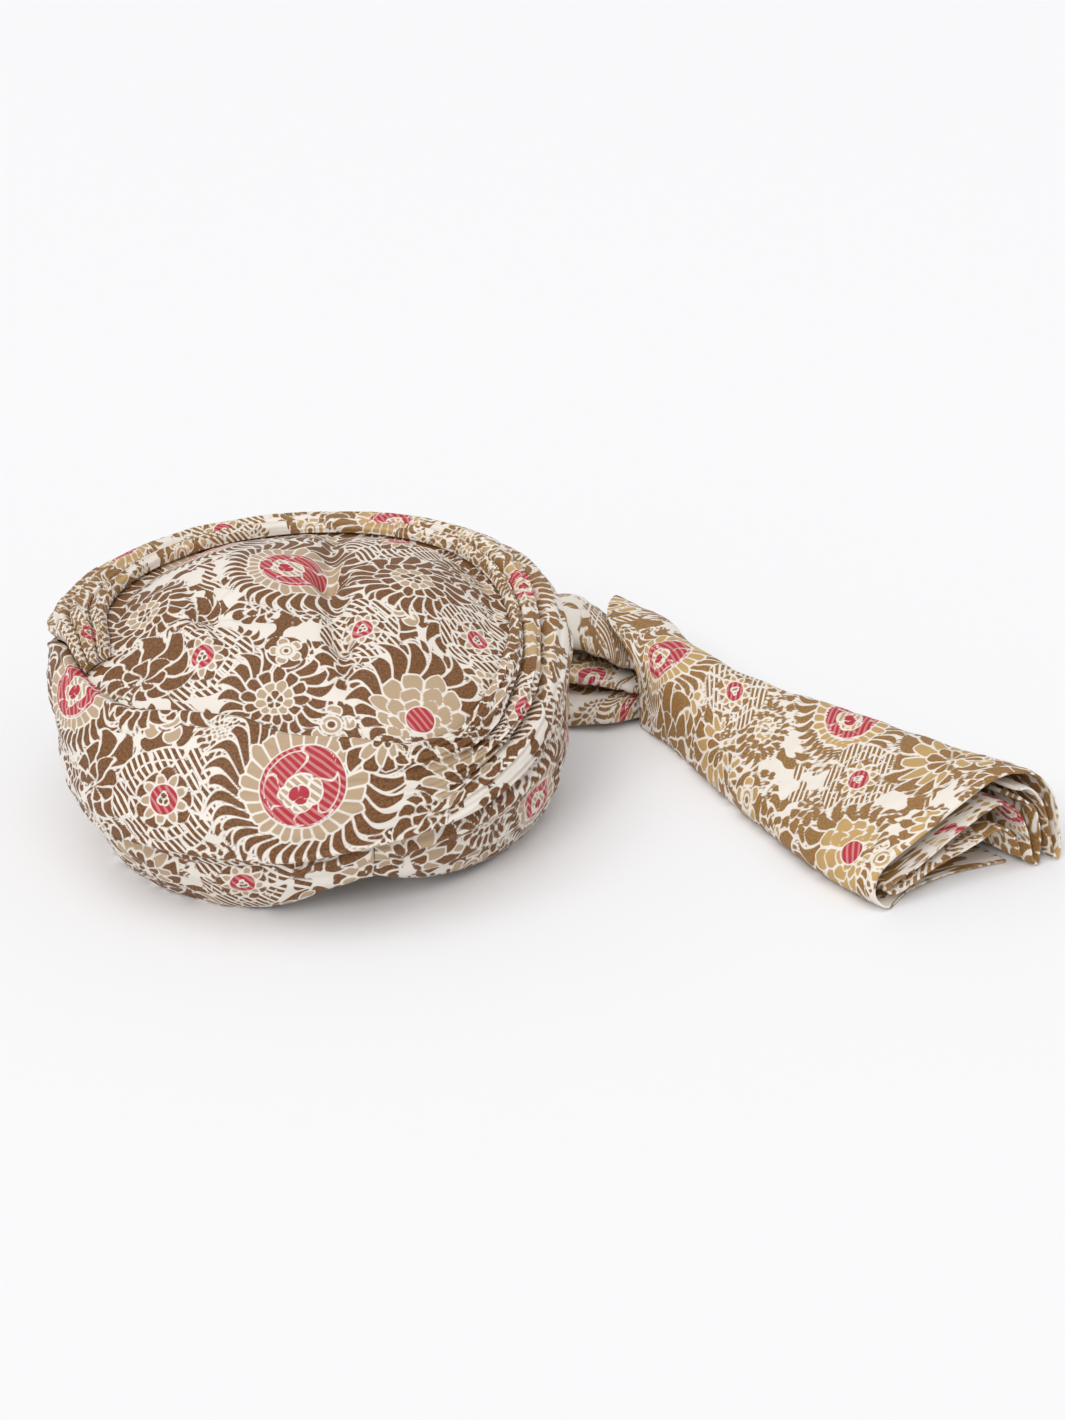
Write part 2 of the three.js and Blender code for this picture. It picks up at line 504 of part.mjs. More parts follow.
const turban = new THREE.Group();
for (const [name, geometry, colour] of PIECES) {
  const mesh = new THREE.Mesh(geometry, brocade(colour));
  mesh.name = name;
  turban.add(mesh);
}

// The origin goes under the middle of the whole
const box = new THREE.Box3().setFromObject(turban);
turban.position.set(-(box.min.x + box.max.x) / 2, -(box.min.y + box.max.y) / 2, -box.min.z);

export default turban;
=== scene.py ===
"""Tied turban pagri in woven brocade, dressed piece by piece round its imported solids.

Lengths are millimetres in the turban's own frame until a mesh is made, and metres from then on.
Turns are degrees round the winding: 0 at the front, 90 on the right, 180 at the back.
Levels run up the winding's outer face, from 0 at its foot to 1 where the crown begins.
The tail is the pleated free end of the cloth, laid out on the floor.
"""

import bmesh
import bpy
import numpy as np
from bpy.props import FloatProperty, FloatVectorProperty, PointerProperty
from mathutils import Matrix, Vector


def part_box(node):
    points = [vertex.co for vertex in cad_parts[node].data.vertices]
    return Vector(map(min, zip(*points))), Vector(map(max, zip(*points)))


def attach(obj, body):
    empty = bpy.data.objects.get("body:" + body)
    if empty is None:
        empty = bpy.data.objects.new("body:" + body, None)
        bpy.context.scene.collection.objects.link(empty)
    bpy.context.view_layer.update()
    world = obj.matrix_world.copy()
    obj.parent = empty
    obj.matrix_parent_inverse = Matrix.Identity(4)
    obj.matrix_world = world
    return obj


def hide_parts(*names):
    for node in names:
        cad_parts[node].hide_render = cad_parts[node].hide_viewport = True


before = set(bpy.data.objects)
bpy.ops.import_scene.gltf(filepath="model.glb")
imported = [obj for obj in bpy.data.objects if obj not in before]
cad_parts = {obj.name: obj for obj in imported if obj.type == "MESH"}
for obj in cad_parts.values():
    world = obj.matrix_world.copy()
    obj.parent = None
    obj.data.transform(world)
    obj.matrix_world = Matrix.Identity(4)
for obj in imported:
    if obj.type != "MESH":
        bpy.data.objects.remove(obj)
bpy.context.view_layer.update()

bl_info = {
    "name": "Tied Turban",
    "version": (1, 0, 0),
    "blender": (4, 5, 0),
    "location": "View3D > Sidebar > Turban",
    "description": "Builds the cloth, brocade and stage of a tied turban with a pleated end",
    "category": "Add Mesh",
}

CORE_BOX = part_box("wound_core")


def table(columns, *rows):
    """Rows of numbers as one array for each named column."""
    return {name: np.array([row[i] for row in rows], float) for i, name in enumerate(columns.split())}


# The wound core's outer face: its height and its reach from the middle at six levels, in nine directions
LEVELS = np.array([0, 0.2, 0.42, 0.62, 0.82, 1])
HEIGHTS = table(
    "turn rim low mid high shoulder crown",
    (-180, 0, 25, 60, 95, 105, 103), (-130, 0, 25, 57, 92, 103, 102), (-90, 0, 25, 55, 85, 100, 101),
    (-60, 0, 23, 52, 77, 92, 98), (-40, 0, 23, 50, 74, 89, 95), (0, 0, 22, 47, 70, 84, 92),
    (45, 0, 23, 51, 75, 90, 96), (90, 0, 25, 56, 83, 97, 101), (130, 0, 25, 59, 96, 108, 105),
    (180, 0, 25, 60, 95, 105, 103))
REACHES = table(
    "turn rim low mid high shoulder crown",
    (-180, 108, 120, 127, 122, 108, 94), (-130, 107, 119, 126, 124, 109, 93),
    (-90, 94, 103, 116, 122, 109, 93), (-60, 107, 116, 123.5, 121.5, 107, 91),
    (-40, 111, 124, 131, 121, 106, 90), (0, 114, 128, 133, 121, 104, 88),
    (45, 112, 125, 131, 122, 106, 90), (90, 116, 129, 131, 123, 108, 94),
    (130, 110, 122, 128, 123, 109, 94), (180, 108, 120, 127, 122, 108, 94))
# Where the rim lifts off the floor
RIM = table(
    "turn level",
    (-180, 0), (-18, 0), (-6, 0.04), (9, 0.17), (17, 0.21), (26, 0.14), (34, 0.10), (50, 0.04), (66, 0),
    (180, 0))
# The front wrap: its low edge, two grooves and top edge, how far it is gathered into rolled coils,
# and how proud the outer coil stands
FRONT_WRAP = table(
    "turn low grooveA grooveB top gather outerCoil",
    (-118, 0.33, 0.42, 0.50, 0.58, 0, 8), (-93, 0.30, 0.42, 0.53, 0.635, 0, 8),
    (-76, 0.30, 0.45, 0.60, 0.745, 0, 8), (-45, 0.30, 0.46, 0.62, 0.775, 0, 8),
    (-26, 0.33, 0.51, 0.69, 0.87, 0, 8), (-14, 0.34, 0.53, 0.71, 0.90, 0, 8),
    (0, 0.35, 0.51, 0.67, 0.83, 0, 8), (14, 0.38, 0.52, 0.65, 0.79, 0, 8),
    (30, 0.40, 0.50, 0.60, 0.70, 0.05, 8), (40, 0.42, 0.52, 0.60, 0.69, 0.3, 8),
    (50, 0.44, 0.55, 0.63, 0.74, 0.7, 8.5), (59, 0.46, 0.59, 0.69, 0.79, 1, 9),
    (70, 0.49, 0.65, 0.75, 0.85, 1, 9), (84, 0.53, 0.72, 0.82, 0.89, 1, 9),
    (98, 0.53, 0.74, 0.85, 0.93, 1, 11.5), (125, 0.49, 0.72, 0.85, 0.95, 1, 13),
    (180, 0.47, 0.70, 0.83, 0.94, 1, 13), (225, 0.49, 0.71, 0.83, 0.95, 1, 13),
    (250, 0.56, 0.72, 0.83, 0.94, 1, 12), (267, 0.62, 0.74, 0.83, 0.93, 1, 12),
    (284, 0.74, 0.80, 0.87, 0.94, 1, 11), (296, 0.76, 0.80, 0.85, 0.90, 1, 9))
# The low turns: their top edge, how proud they stand, and how far the side one puffs out into a roll
BROW_WRAP = table(
    "turn top proud",
    (-112, 0.34, 3.8), (-93, 0.33, 4.0), (-45, 0.33, 4.4), (0, 0.38, 4.4), (17.3, 0.41, 4.2))
SIDE_WRAP = table(
    "turn top proud puff",
    (17.5, 0.40, 4.0, 0), (30, 0.43, 4.0, 3.5), (48, 0.46, 4.4, 7), (62, 0.495, 4.4, 5),
    (76, 0.535, 4.4, 0))
BACK_WRAP = table(
    "turn top proud",
    (77, 0.54, 3.4), (98, 0.565, 4.2), (125, 0.53, 4.4), (180, 0.51, 4.4), (213, 0.51, 4.2),
    (231, 0.42, 4.2), (246.5, 0.34, 4.4))
# The tail's footprint: its near and far edges, its height and its lift off the floor
ROOT_PATH = table(
    "stop nearX nearY farX farY height lift",
    (0, 77, 104.5, 37, 125.5, 37, 0), (1, 90, 108, 64, 160, 42, 0), (2, 107, 97, 102, 170, 47, 0),
    (3, 129, 78, 138, 168, 53, 0), (4, 153, 76, 157, 157, 40, 3), (5, 180, 88, 193, 113, 28, 3.4))
TAIL_PATH = table(
    "stop nearX nearY farX farY height lift",
    (0, 175, 77, 168, 173, 47, 0), (1, 179, 70, 194, 146, 45, 0), (2, 186, 60, 208, 106, 44, 0),
    (3, 196, 38, 226, 76, 43, 0), (4, 208, 8, 254, 50, 43, 0), (5, 222, -25, 286, 22, 44, 0),
    (6, 237, -57, 317, -5, 45, 0), (7, 252, -85, 344, -30, 47, 0), (8, 266, -105, 364, -50, 49, 0),
    (9, 279, -122, 380, -68, 50, 0))
# Sections of the folded tail as shares of its width and height, across 0 nearest the viewer. The outer
# one starts as another section, and its last column sets its foot back at the far end, in millimetres.
ROOT_FOLDS = table(
    "across up",
    (0.92, 0.03), (0.50, 0.03), (0.06, 0.03), (0.01, 0.12), (0.09, 0.24), (0.40, 0.25), (0.49, 0.31),
    (0.40, 0.365), (0.27, 0.375), (0.21, 0.43), (0.28, 0.49), (0.60, 0.48), (0.88, 0.49), (0.97, 0.62),
    (0.90, 0.86), (0.66, 0.97), (0.46, 0.91), (0.355, 0.77), (0.42, 0.655), (0.66, 0.68))
OUTER_FOLDS = table(
    "startAcross startUp across up set",
    (0.80, 0.03, 0.76, 0.03, 10), (0.50, 0.03, 0.50, 0.03, 13), (0.22, 0.03, 0.24, 0.03, 9),
    (0.05, 0.03, 0.08, 0.035, 0), (0.01, 0.13, 0.02, 0.13, 0), (0.01, 0.34, 0.02, 0.27, 0),
    (0.04, 0.62, 0.08, 0.43, 0), (0.14, 0.86, 0.27, 0.62, 0), (0.32, 0.97, 0.49, 0.81, 0),
    (0.54, 0.99, 0.67, 0.94, 0), (0.74, 0.98, 0.79, 0.975, 0), (0.90, 0.90, 0.90, 0.90, 0),
    (0.975, 0.70, 0.965, 0.70, 0), (0.99, 0.42, 0.985, 0.42, 0), (0.99, 0.15, 0.99, 0.15, 0),
    (0.975, 0.035, 0.975, 0.035, 0), (0.93, 0.12, 0.955, 0.12, 0), (0.90, 0.38, 0.945, 0.38, 0),
    (0.88, 0.62, 0.915, 0.62, 0), (0.83, 0.76, 0.86, 0.78, 0), (0.74, 0.80, 0.80, 0.80, 0))
PLEAT_FOLDS = table(
    "across up",
    (0.82, 0.69), (0.877, 0.57), (0.895, 0.30), (0.88, 0.09), (0.855, 0.035), (0.832, 0.12),
    (0.825, 0.32), (0.79, 0.55), (0.70, 0.71), (0.53, 0.61), (0.32, 0.43), (0.15, 0.28), (0.085, 0.20),
    (0.13, 0.145), (0.32, 0.27), (0.53, 0.40), (0.69, 0.47), (0.755, 0.33), (0.775, 0.15))
# Creases round the low turns
LOW_FOLDS = table("level depth width", (0.17, 1.6, 0.05), (0.34, 1.8, 0.05))
SIDE_FOLDS = table("level depth width", (0.27, 2.3, 0.04), (0.15, 1.2, 0.03))
BROW_FOLDS = table("level depth width", (0.16, 0.9, 0.03), (0.25, 0.8, 0.02))
# The crown's folds in plan: a line from x, y to endX, endY, how far it rises or sinks, and its width
CROWN_FOLDS = table(
    "x y endX endY rise width",
    (10, 78, 12, 5, -7, 7), (12, 5, 22, -50, -6, 7), (22, -50, 30, -84, -6, 6),
    (-48, -31, -46, -29, -4.5, 11), (-84, -20, -58, -58, -4, 6), (-70, -6, -40, -66, 3, 8),
    (-42, 34, -30, 20, 5, 30), (55, 38, 58, 0, 7, 30), (78, -44, 66, -64, -7, 9))

SEAT = 0.85  # air between a turn of cloth and the one under it
LOW_TURN = 3.8  # thickness of the low turns
LAP = LOW_TURN + 2 * SEAT  # how far out the front wrap's edges lie
LAP_SHARE = 0.14  # how much of the front wrap's width each edge's lap takes
BAND_FACE = 8.8  # how proud of the winding the front wrap stands
COILS = 3
COIL_GROOVE = 1.9  # the least that the grooves between the coils stand proud
COIL_GAP = 0.008  # level left between the coils' far end and the band's top edge under it
# The turns where the coils start to climb on to the crown's skirt, where they lie on it, and where the
# skirt's edge is down under the band again
CLIMB = (250, 268, 290)
EDGE_LIFT = 3.2  # how far the front wrap's low edge stands off where its folds run together
FOLDS_MEET = 42  # the turn where they do
PUFF_BELOW = 0.06  # levels from the front wrap's low edge down to the side wrap's puffed roll
PUFF_WIDTH = 0.032  # levels
CROWN_CLOTH = 3.5  # thickness
CROWN_TOP = 122  # height over the floor
CROWN_FULLNESS = {"side": 3.6, "front": 2.3, "back": 5}  # the higher, the nearer its edge it falls away
DIMPLE = (-48, -30)  # the crown's dimple in plan
TAIL_CLOTH = 2  # thickness
MORPH_STOPS = 6  # stops that the tail's first section takes to settle
LIP_BULGE = 14  # how far the tail's start bulges back towards the winding
END_LEAN = 14  # how far back from its foot the top of its far end lies
CORE_TOP = 0.8  # the level where the inner turns end
HOLLOW_RIM = (82, 97)  # half width and half depth
HOLLOW_TOP = (74, 84)
HOLLOW_DROP = 7  # from the top of the inner turns' outer face to the top of the hollow
GIRTH = 132 * np.pi / 180  # millimetres along the cloth for each degree of turn


def smooth(knots, values, at):
    """A smooth value between knots, with no overshoot. The values may change from place to place."""
    at = np.clip(np.asarray(at, float), knots[0], knots[-1])
    values = np.asarray(values, float)
    if values.ndim == 1:
        values = values.reshape(-1, *([1] * at.ndim))
    span = np.diff(knots).reshape(-1, *([1] * at.ndim))
    rise = np.diff(values, axis=0) / span
    before, after = rise[:-1], rise[1:]
    total = np.where(before * after > 0, before + after, 1)
    middle = np.where(before * after > 0, 2 * before * after / total, 0)
    slope = np.concatenate([rise[:1], middle, rise[-1:]])
    i = np.clip(np.searchsorted(knots, at) - 1, 0, len(knots) - 2)
    gap = knots[i + 1] - knots[i]
    t = (at - knots[i]) / gap

    def pick(rows, row):
        return np.take_along_axis(np.broadcast_to(rows, (len(rows), *at.shape)), row[None], 0)[0]

    ease = t * t * (3 - 2 * t)
    bend = pick(slope, i) * t * (1 - t) ** 2 - pick(slope, i + 1) * t * t * (1 - t)
    return pick(values, i) * (1 - ease) + pick(values, i + 1) * ease + gap * bend


def along(rows, column, at):
    """A table's column read smoothly at places in its first column."""
    return smooth(next(iter(rows.values())), rows[column], at)


def rise_between(low, high, at):
    """0 below low, 1 above high, and smooth between."""
    t = np.clip((at - low) / (high - low), 0, 1)
    return t * t * (3 - 2 * t)


def mix(a, b, share):
    """The value a share of the way from a to b."""
    return a + (b - a) * share


def ripple(u, v, length, seed):
    """Soft unevenness between about -1 and 1, with waves around a length."""
    total = 0
    for k in range(6):
        angle = 1.3 * seed + 2.4 * k
        wave = 2 * np.pi * (0.7 + 0.29 * k) / length
        way = u * np.cos(angle) + v * np.sin(angle)
        total = total + np.sin(wave * way + seed * (k + 1)) / (1 + 0.4 * k)
    return total / 2.4


def core_point(turn, level):
    """A point of the winding's outer face."""
    turn, level = np.broadcast_arrays(np.asarray(turn, float), level)
    facing = (turn + 180) % 360 - 180

    def read(rows):
        return smooth(LEVELS, np.array([along(rows, name, facing) for name in list(rows)[1:]]), level)

    reach = read(REACHES)
    angle = np.radians(turn)
    return np.stack([reach * np.sin(angle), -reach * np.cos(angle), read(HEIGHTS)], -1)


def proud_point(turn, level, height):
    """The point that stands proud of the winding by a height, never below the floor."""
    turn, level, height = np.broadcast_arrays(np.asarray(turn, float), level, height)
    level_step, turn_step = 0.004, 0.5
    above, below = np.minimum(level + level_step, 1), np.maximum(level - level_step, 0)
    rise = core_point(turn, above) - core_point(turn, below)
    sweep = core_point(turn + turn_step, level) - core_point(turn - turn_step, level)
    out = np.cross(sweep, rise)
    out /= np.linalg.norm(out, axis=-1, keepdims=True)
    point = core_point(turn, level) + out * height[..., None]
    point[..., 2] = np.maximum(point[..., 2], 0)
    return point


# From the winding's axis to its left side and to its front
CORE_LEFT, CORE_FRONT = 120.9, 132.3
# The winding's axis on the floor, in the frame
MIDDLE = np.array([CORE_BOX[0][0] * 1000 + CORE_LEFT, CORE_BOX[0][1] * 1000 + CORE_FRONT, 0])
AIM = np.array([115, 0, 50])  # what the camera looks at, from the winding's axis
CAMERA_AWAY = 1250
CAMERA_TILT = 26  # degrees down
LENS, SENSOR = 61.415, 36
# Each light's tilt in degrees, its strength and its spread in degrees
LIGHTS = (("Soft top", (8, -12, 0), 0.95, 60), ("Soft front", (46, -28, 0), 0.95, 24))
FLOOR_SIZE = 60  # metres
FLOOR_COLOUR = "#F0F0F1"
STUDIO_COLOUR = "#F5F5F6"
STUDIO_LIGHT = 0.68
# Each piece and the solid that it dresses, then each slot and what fills it
NODES = {"Inner_turns": "wound_core", "Puffed_top": "crown_cloth", "Brow_wrap": "brow_wrap",
         "Side_wrap": "side_wrap", "Back_wrap": "back_wrap", "Front_wrap": "front_wrap",
         "Tail_root": "tail_root", "Tail_outer": "tail_outer", "Tail_pleats": "tail_pleats"}
MATERIALS = {"brocade": "Woven silk brocade", "gilt_brocade": "Gilt silk brocade",
             "inner_turns": "Brocade of the inner turns"}
GILT_TURNS = (55, 95)  # where the front wrap's gilt weft starts to show, and where all of it does
COIL_GILT = 0.8  # how much gilt the coils show, where the tail shows 1
CREASE = 62  # degrees between two faces that are shaded as a sharp edge
MERGE = 1e-5  # metres between points that become one
# What the material reads at each point: how many millimetres inside each woven shape it is, its place on
# the cloth and whether it is hatched, and its share of gilt
FIELDS = {"figure": ("brown", "pale", "red"), "thread": ("u", "v", "hatch"), "metal": ("gilt",) * 3}
# Creases along the front band, in degrees of turn and hundredths of its width
BAND_FOLDS = table(
    "turn across endTurn endAcross rise width",
    (-30, 30, -14, 38, -1.2, 5), (28, 40, 55, 36, -0.8, 4), (22, 66, 55, 60, -0.9, 4))
# Flowers on each piece: millimetres round and across the cloth, size, facing and kind
FRONT_FLOWERS = (
    (-205, 40, 40, 90, "dark"), (-140, 60, 44, 90, "lotus"), (-98, 30, 24, 40, "leaves"),
    (-58, 30, 30, 90, "rosette"), (-95, 84, 26, 0, "dark"), (-62, 84, 20, 20, "leaves"),
    (-21, 64, 13, 0, "flower"), (7, 36, 50, 70, "lotus"), (56, 60, 22, 180, "lily"),
    (88, 22, 28, 100, "lily"), (66, 12, 15, 200, "leaves"), (135, 42, 26, 20, "rosette"),
    (185, 30, 30, 90, "lily"), (235, 60, 34, 0, "lotus"), (300, 40, 30, 90, "rosette"),
    (362, 82, 40, 0, "lotus"), (430, 40, 34, 0, "dark"), (480, 80, 30, 0, "rosette"),
    (540, 50, 36, 0, "lotus"), (600, 70, 30, 90, "lily"), (655, 30, 32, 0, "rosette"))
CROWN_FLOWERS = (
    (-11, 10, 44, 10, "lotus"), (62, -6, 34, 90, "dark"), (-46, -64, 27, 90, "rosette"),
    (33, -45, 22, 90, "rosette"), (66, -100, 36, 90, "palmette"), (97, -34, 24, 90, "rosette"),
    (-82, -18, 30, 120, "dark"), (-8, -92, 30, 90, "dark"), (-4, -62, 12, 0, "flower"),
    (-80, -70, 26, 60, "leaves"), (-60, 50, 38, 90, "lotus"), (50, 55, 34, 90, "rosette"),
    (0, 80, 34, 90, "dark"), (100, 30, 30, 0, "dark"))
BROW_FLOWERS = (
    (-22, 26, 26, 90, "rosette"), (-80, 20, 26, 90, "lily"), (-140, 22, 28, 90, "lotus"),
    (-200, 20, 26, 90, "rosette"), (18, 30, 18, 0, "leaves"))
SIDE_FLOWERS = ((58, 14, 30, 90, "lily"), (104, 36, 22, 90, "dark"), (148, 30, 30, 90, "lotus"))
BACK_FLOWERS = (
    (210, 40, 32, 90, "lotus"), (270, 34, 28, 90, "rosette"), (335, 36, 34, 90, "dark"),
    (400, 36, 34, 90, "lotus"), (465, 34, 28, 90, "rosette"), (530, 30, 30, 90, "dark"))
ROOT_FLOWERS = (
    (190, 60, 28, 0, "dark"), (245, 96, 22, 90, "rosette"), (150, 100, 26, 0, "lotus"),
    (90, 60, 28, 0, "dark"), (60, 120, 30, 0, "rosette"))
TAIL_FLOWERS = (
    (88, 43, 37, 40, "lotus"), (94, 100, 24, 0, "rosette"), (70, 116, 24, 200, "lily"),
    (142, 168, 40, 320, "lotus"), (130, 208, 26, 0, "rosette"), (174, 238, 30, 250, "lily"),
    (70, 158, 15, 0, "flower"), (102, 250, 30, 250, "palmette"), (158, 100, 32, 0, "dark"),
    (52, 205, 26, 0, "leaves"), (170, 40, 32, 0, "dark"), (40, 60, 26, 0, "leaves"),
    (215, 150, 32, 90, "rosette"), (230, 230, 34, 90, "lotus"))
PLEAT_FLOWERS = (
    (66, 133, 28, 0, "lotus"), (120, 100, 26, 0, "dark"), (110, 135, 24, 90, "lotus"),
    (30, 120, 26, 0, "dark"), (170, 125, 24, 0, "rosette"))


def front_rows(turn):
    """The front wrap's table read at each turn, the coils' far end kept clear of the band under it."""
    rows = {name: along(FRONT_WRAP, name, turn) for name in FRONT_WRAP}
    below = along(FRONT_WRAP, "top", turn - 360) + COIL_GAP
    again = turn >= FRONT_WRAP["turn"][0] + 360
    rows["low"] = np.where(again, np.maximum(rows["low"], below), rows["low"])
    rows["inside"] = mix(SEAT, LAP, rise_between(CLIMB[0], CLIMB[1], turn))
    return rows


def front_height(rows, coil, share):
    """How proud the front wrap stands, a share of the way across one of its coils."""
    flat = 2 * (coil + share) / COILS - 1
    band = BAND_FACE - 2.5 * flat ** 8 - 0.4 * flat ** 2
    crest = np.where(coil == 0, rows["outerCoil"], np.minimum(rows["outerCoil"], BAND_FACE + 0.5))
    at_edge = ((coil == 0) & (share < 0.5)) | ((coil == COILS - 1) & (share > 0.5))
    groove = np.maximum(COIL_GROOVE, np.where(at_edge, LAP, rows["inside"]) + 0.6)
    side = np.minimum(1.09 * np.abs(2 * share - 1), 1)
    roll = groove + np.maximum(crest - groove, 0) * (1 - side ** 3) ** (1 / 3)
    return mix(band, roll, rows["gather"])


def fold_rise(folds, x, y):
    """How far a set of folds lifts or sinks the cloth at a place."""
    total = 0
    for x0, y0, x1, y1, rise, width in zip(*folds.values()):
        dx, dy = x1 - x0, y1 - y0
        t = np.clip(((x - x0) * dx + (y - y0) * dy) / (dx * dx + dy * dy), 0, 1)
        total = total + rise * np.exp(-((x - x0 - t * dx) ** 2 + (y - y0 - t * dy) ** 2) / width ** 2)
    return total


def arc_length(points):
    """How far along its row each point lies, in millimetres."""
    gaps = np.linalg.norm(np.diff(points, axis=-2), axis=-1)
    return np.concatenate([np.zeros_like(gaps[..., :1]), np.cumsum(gaps, -1)], -1)


def front_wrap_rings(depth):
    """The broad front turn, and the coils that it is gathered into."""
    first, last = FRONT_WRAP["turn"][[0, -1]]
    # Finer steps, in degrees, where the wrap faces the viewer
    fine_until, fine, coarse = 75, 0.37, 0.55
    turn = np.append(np.arange(first, fine_until, fine), np.arange(fine_until, last + 0.1, coarse))[:, None]
    rows = front_rows(turn)
    even = np.linspace(0, 1, 30)[:-1]
    coil = np.append(np.repeat(np.arange(COILS), len(even)), COILS - 1)
    even = np.append(np.tile(even, COILS), 1)
    share = mix(even, (1 - np.cos(np.pi * even)) / 2, rows["gather"])
    edges = np.concatenate([rows["low"], rows["grooveA"], rows["grooveB"], rows["top"]], 1)
    level = mix(edges[:, coil], edges[:, coil + 1], share)
    height = front_height(rows, coil, share)
    from_low, from_top = share + coil, COILS - share - coil
    hem = np.minimum(1, 8 * np.minimum(from_low, from_top))
    u = turn * GIRTH
    v = 100 * (coil + share) / COILS
    pleats = 0.5 * np.sin(2 * np.pi * (3.2 * share + coil * 0.37 + 0.25 * np.sin(turn / 21)))
    pleats = pleats + 0.4 * np.sin(2 * np.pi * (5.6 * share + 0.4 * np.sin(turn / 13 + coil)))
    soft = 0.9 * ripple(u, 2.4 * v, 60, 1) + 0.35 * ripple(u, 3 * v, 24, 2)
    gathered = rise_between(-10, 55, turn)
    fanned = 1 + 0.9 * np.exp(-((turn - FOLDS_MEET) / 16) ** 2)
    height = height + hem * depth * (soft * (1 - 0.5 * gathered) + 0.8 * fanned * gathered * pleats
                                     + fold_rise(BAND_FOLDS, turn + 0 * v, v + 0 * turn))
    # The flat band's folded edges stand up a little before they turn in
    edge = np.exp(-((from_low - 0.14) / 0.1) ** 2) + np.exp(-((from_top - 0.14) / 0.1) ** 2)
    rounded = 1.2 * np.sin(np.pi * share) ** 2
    height = height + 2.1 * edge * (1 - rows["gather"]) + rows["gather"] * rounded
    # The low edge stands off the side wrap where the folds run together
    off = EDGE_LIFT * np.exp(-((turn - FOLDS_MEET) / 12) ** 2)
    height = height + off * np.exp(-(from_low / 0.45) ** 2)
    outer = proud_point(turn, level, np.maximum(height, rows["inside"] + 0.5))
    lap, past_lap = LAP_SHARE, 1.3 * LAP_SHARE
    shares = np.array([1, 1 - lap, 1 - past_lap, 0.72, 0.59, 0.42, past_lap, lap, 0])
    low_lap = shares < 1.2 * LAP_SHARE
    laps = low_lap | (shares > 1 - 1.2 * LAP_SHARE)
    inside = np.where(laps, LAP, rows["inside"]) + off * low_lap
    inner = proud_point(turn, mix(rows["low"], rows["top"], shares), inside)
    across = arc_length(outer)
    across = np.concatenate([across, across[:, -1:] * shares], 1)
    return np.concatenate([outer, inner], 1), u + 0 * across, across


def low_turn_rings(rows, folds, depth, seed):
    """A low turn between the rim and its own top edge."""
    first, last = rows["turn"][[0, -1]]
    turn = np.arange(first, last + 0.01, max((last - first) / 180, 0.5))[:, None]
    rim = along(RIM, "level", (turn + 180) % 360 - 180)
    top = along(rows, "top", turn)
    share = (1 - np.cos(np.linspace(0, np.pi, 61))) / 2
    level = mix(rim, top, share)
    height = along(rows, "proud", turn) - 1.4 * (2 * share - 1) ** 8
    # A soft crease under the top edge
    height = height - 2 * depth * np.exp(-((share - 0.78) / 0.06) ** 2)
    for fold_level, fold_depth, width in zip(*folds.values()):
        height = height - fold_depth * np.exp(-((level - fold_level) / width) ** 2)
    if "puff" in rows:
        roll = along(FRONT_WRAP, "low", turn) - PUFF_BELOW
        height = height + along(rows, "puff", turn) * np.exp(-((level - roll) / PUFF_WIDTH) ** 2)
    u = turn * GIRTH
    soft = 0.55 * ripple(u, 130 * level, 46, seed) + 0.25 * ripple(u, 300 * level, 22, seed + 1)
    height = height + depth * soft * np.minimum(1, 8 * np.minimum(share, 1 - share))
    outer = proud_point(turn, level, np.maximum(height, SEAT + 0.7))
    inner_share = np.array([1, 0.83, 0.67, 0.5, 0.33, 0.17, 0])
    inner = proud_point(turn, mix(rim, top, inner_share), SEAT + 0 * turn)
    across = arc_length(outer)
    across = np.concatenate([across, across[:, -1:] * inner_share], 1)
    return np.concatenate([outer, inner], 1), u + 0 * across, across


def crown_point(turn, reach, sink, depth):
    """A point of the puffed crown: reach 0 in the middle, 1 where it meets the winding."""
    turn, reach = np.broadcast_arrays(turn, reach)
    edge = proud_point(turn, 1 + 0 * turn, LOW_TURN + 0 * turn)
    ahead = np.cos(np.radians(turn))
    end = np.where(ahead > 0, CROWN_FULLNESS["front"], CROWN_FULLNESS["back"])
    fullness = mix(CROWN_FULLNESS["side"], end, ahead * ahead)
    x, y = edge[..., 0] * reach, edge[..., 1] * reach
    lift = fold_rise(CROWN_FOLDS, x, y) + depth * crown_wrinkles(x, y)
    z = CROWN_TOP - (CROWN_TOP - edge[..., 2]) * reach ** fullness + lift * (1 - reach ** 6)
    shrink = 1 - sink * reach / np.hypot(edge[..., 0], edge[..., 1])
    return np.stack([x * shrink, y * shrink, z - sink], -1)


def crown_wrinkles(x, y):
    """Gathers that run out of the crown's dimple, and soft unevenness elsewhere."""
    x_off, y_off = x - DIMPLE[0], y - DIMPLE[1]
    away = np.hypot(x_off, y_off)
    around = np.arctan2(y_off, x_off)
    spokes = np.sin(9 * around + 0.05 * away) + 0.6 * np.sin(14 * around + 1.5)
    near = np.exp(-((away - 17) / 15) ** 2)
    return 0.6 * spokes * near + 0.8 * ripple(x, y, 70, 4) + 0.3 * ripple(x, y, 26, 5)


def crown_edge(turn):
    """The level where the crown's skirt ends, under the lap of the front wrap or of the coils."""

    def under(rows):
        return rows["top"] - 0.8 * LAP_SHARE * (rows["top"] - rows["low"])

    band = under(front_rows(turn))
    wound = turn + 360
    coils = mix(under(front_rows(wound)), band, rise_between(CLIMB[1], CLIMB[2], wound))
    return np.where((turn > 0) | (wound > CLIMB[2]) | (wound < 180), band, coils)


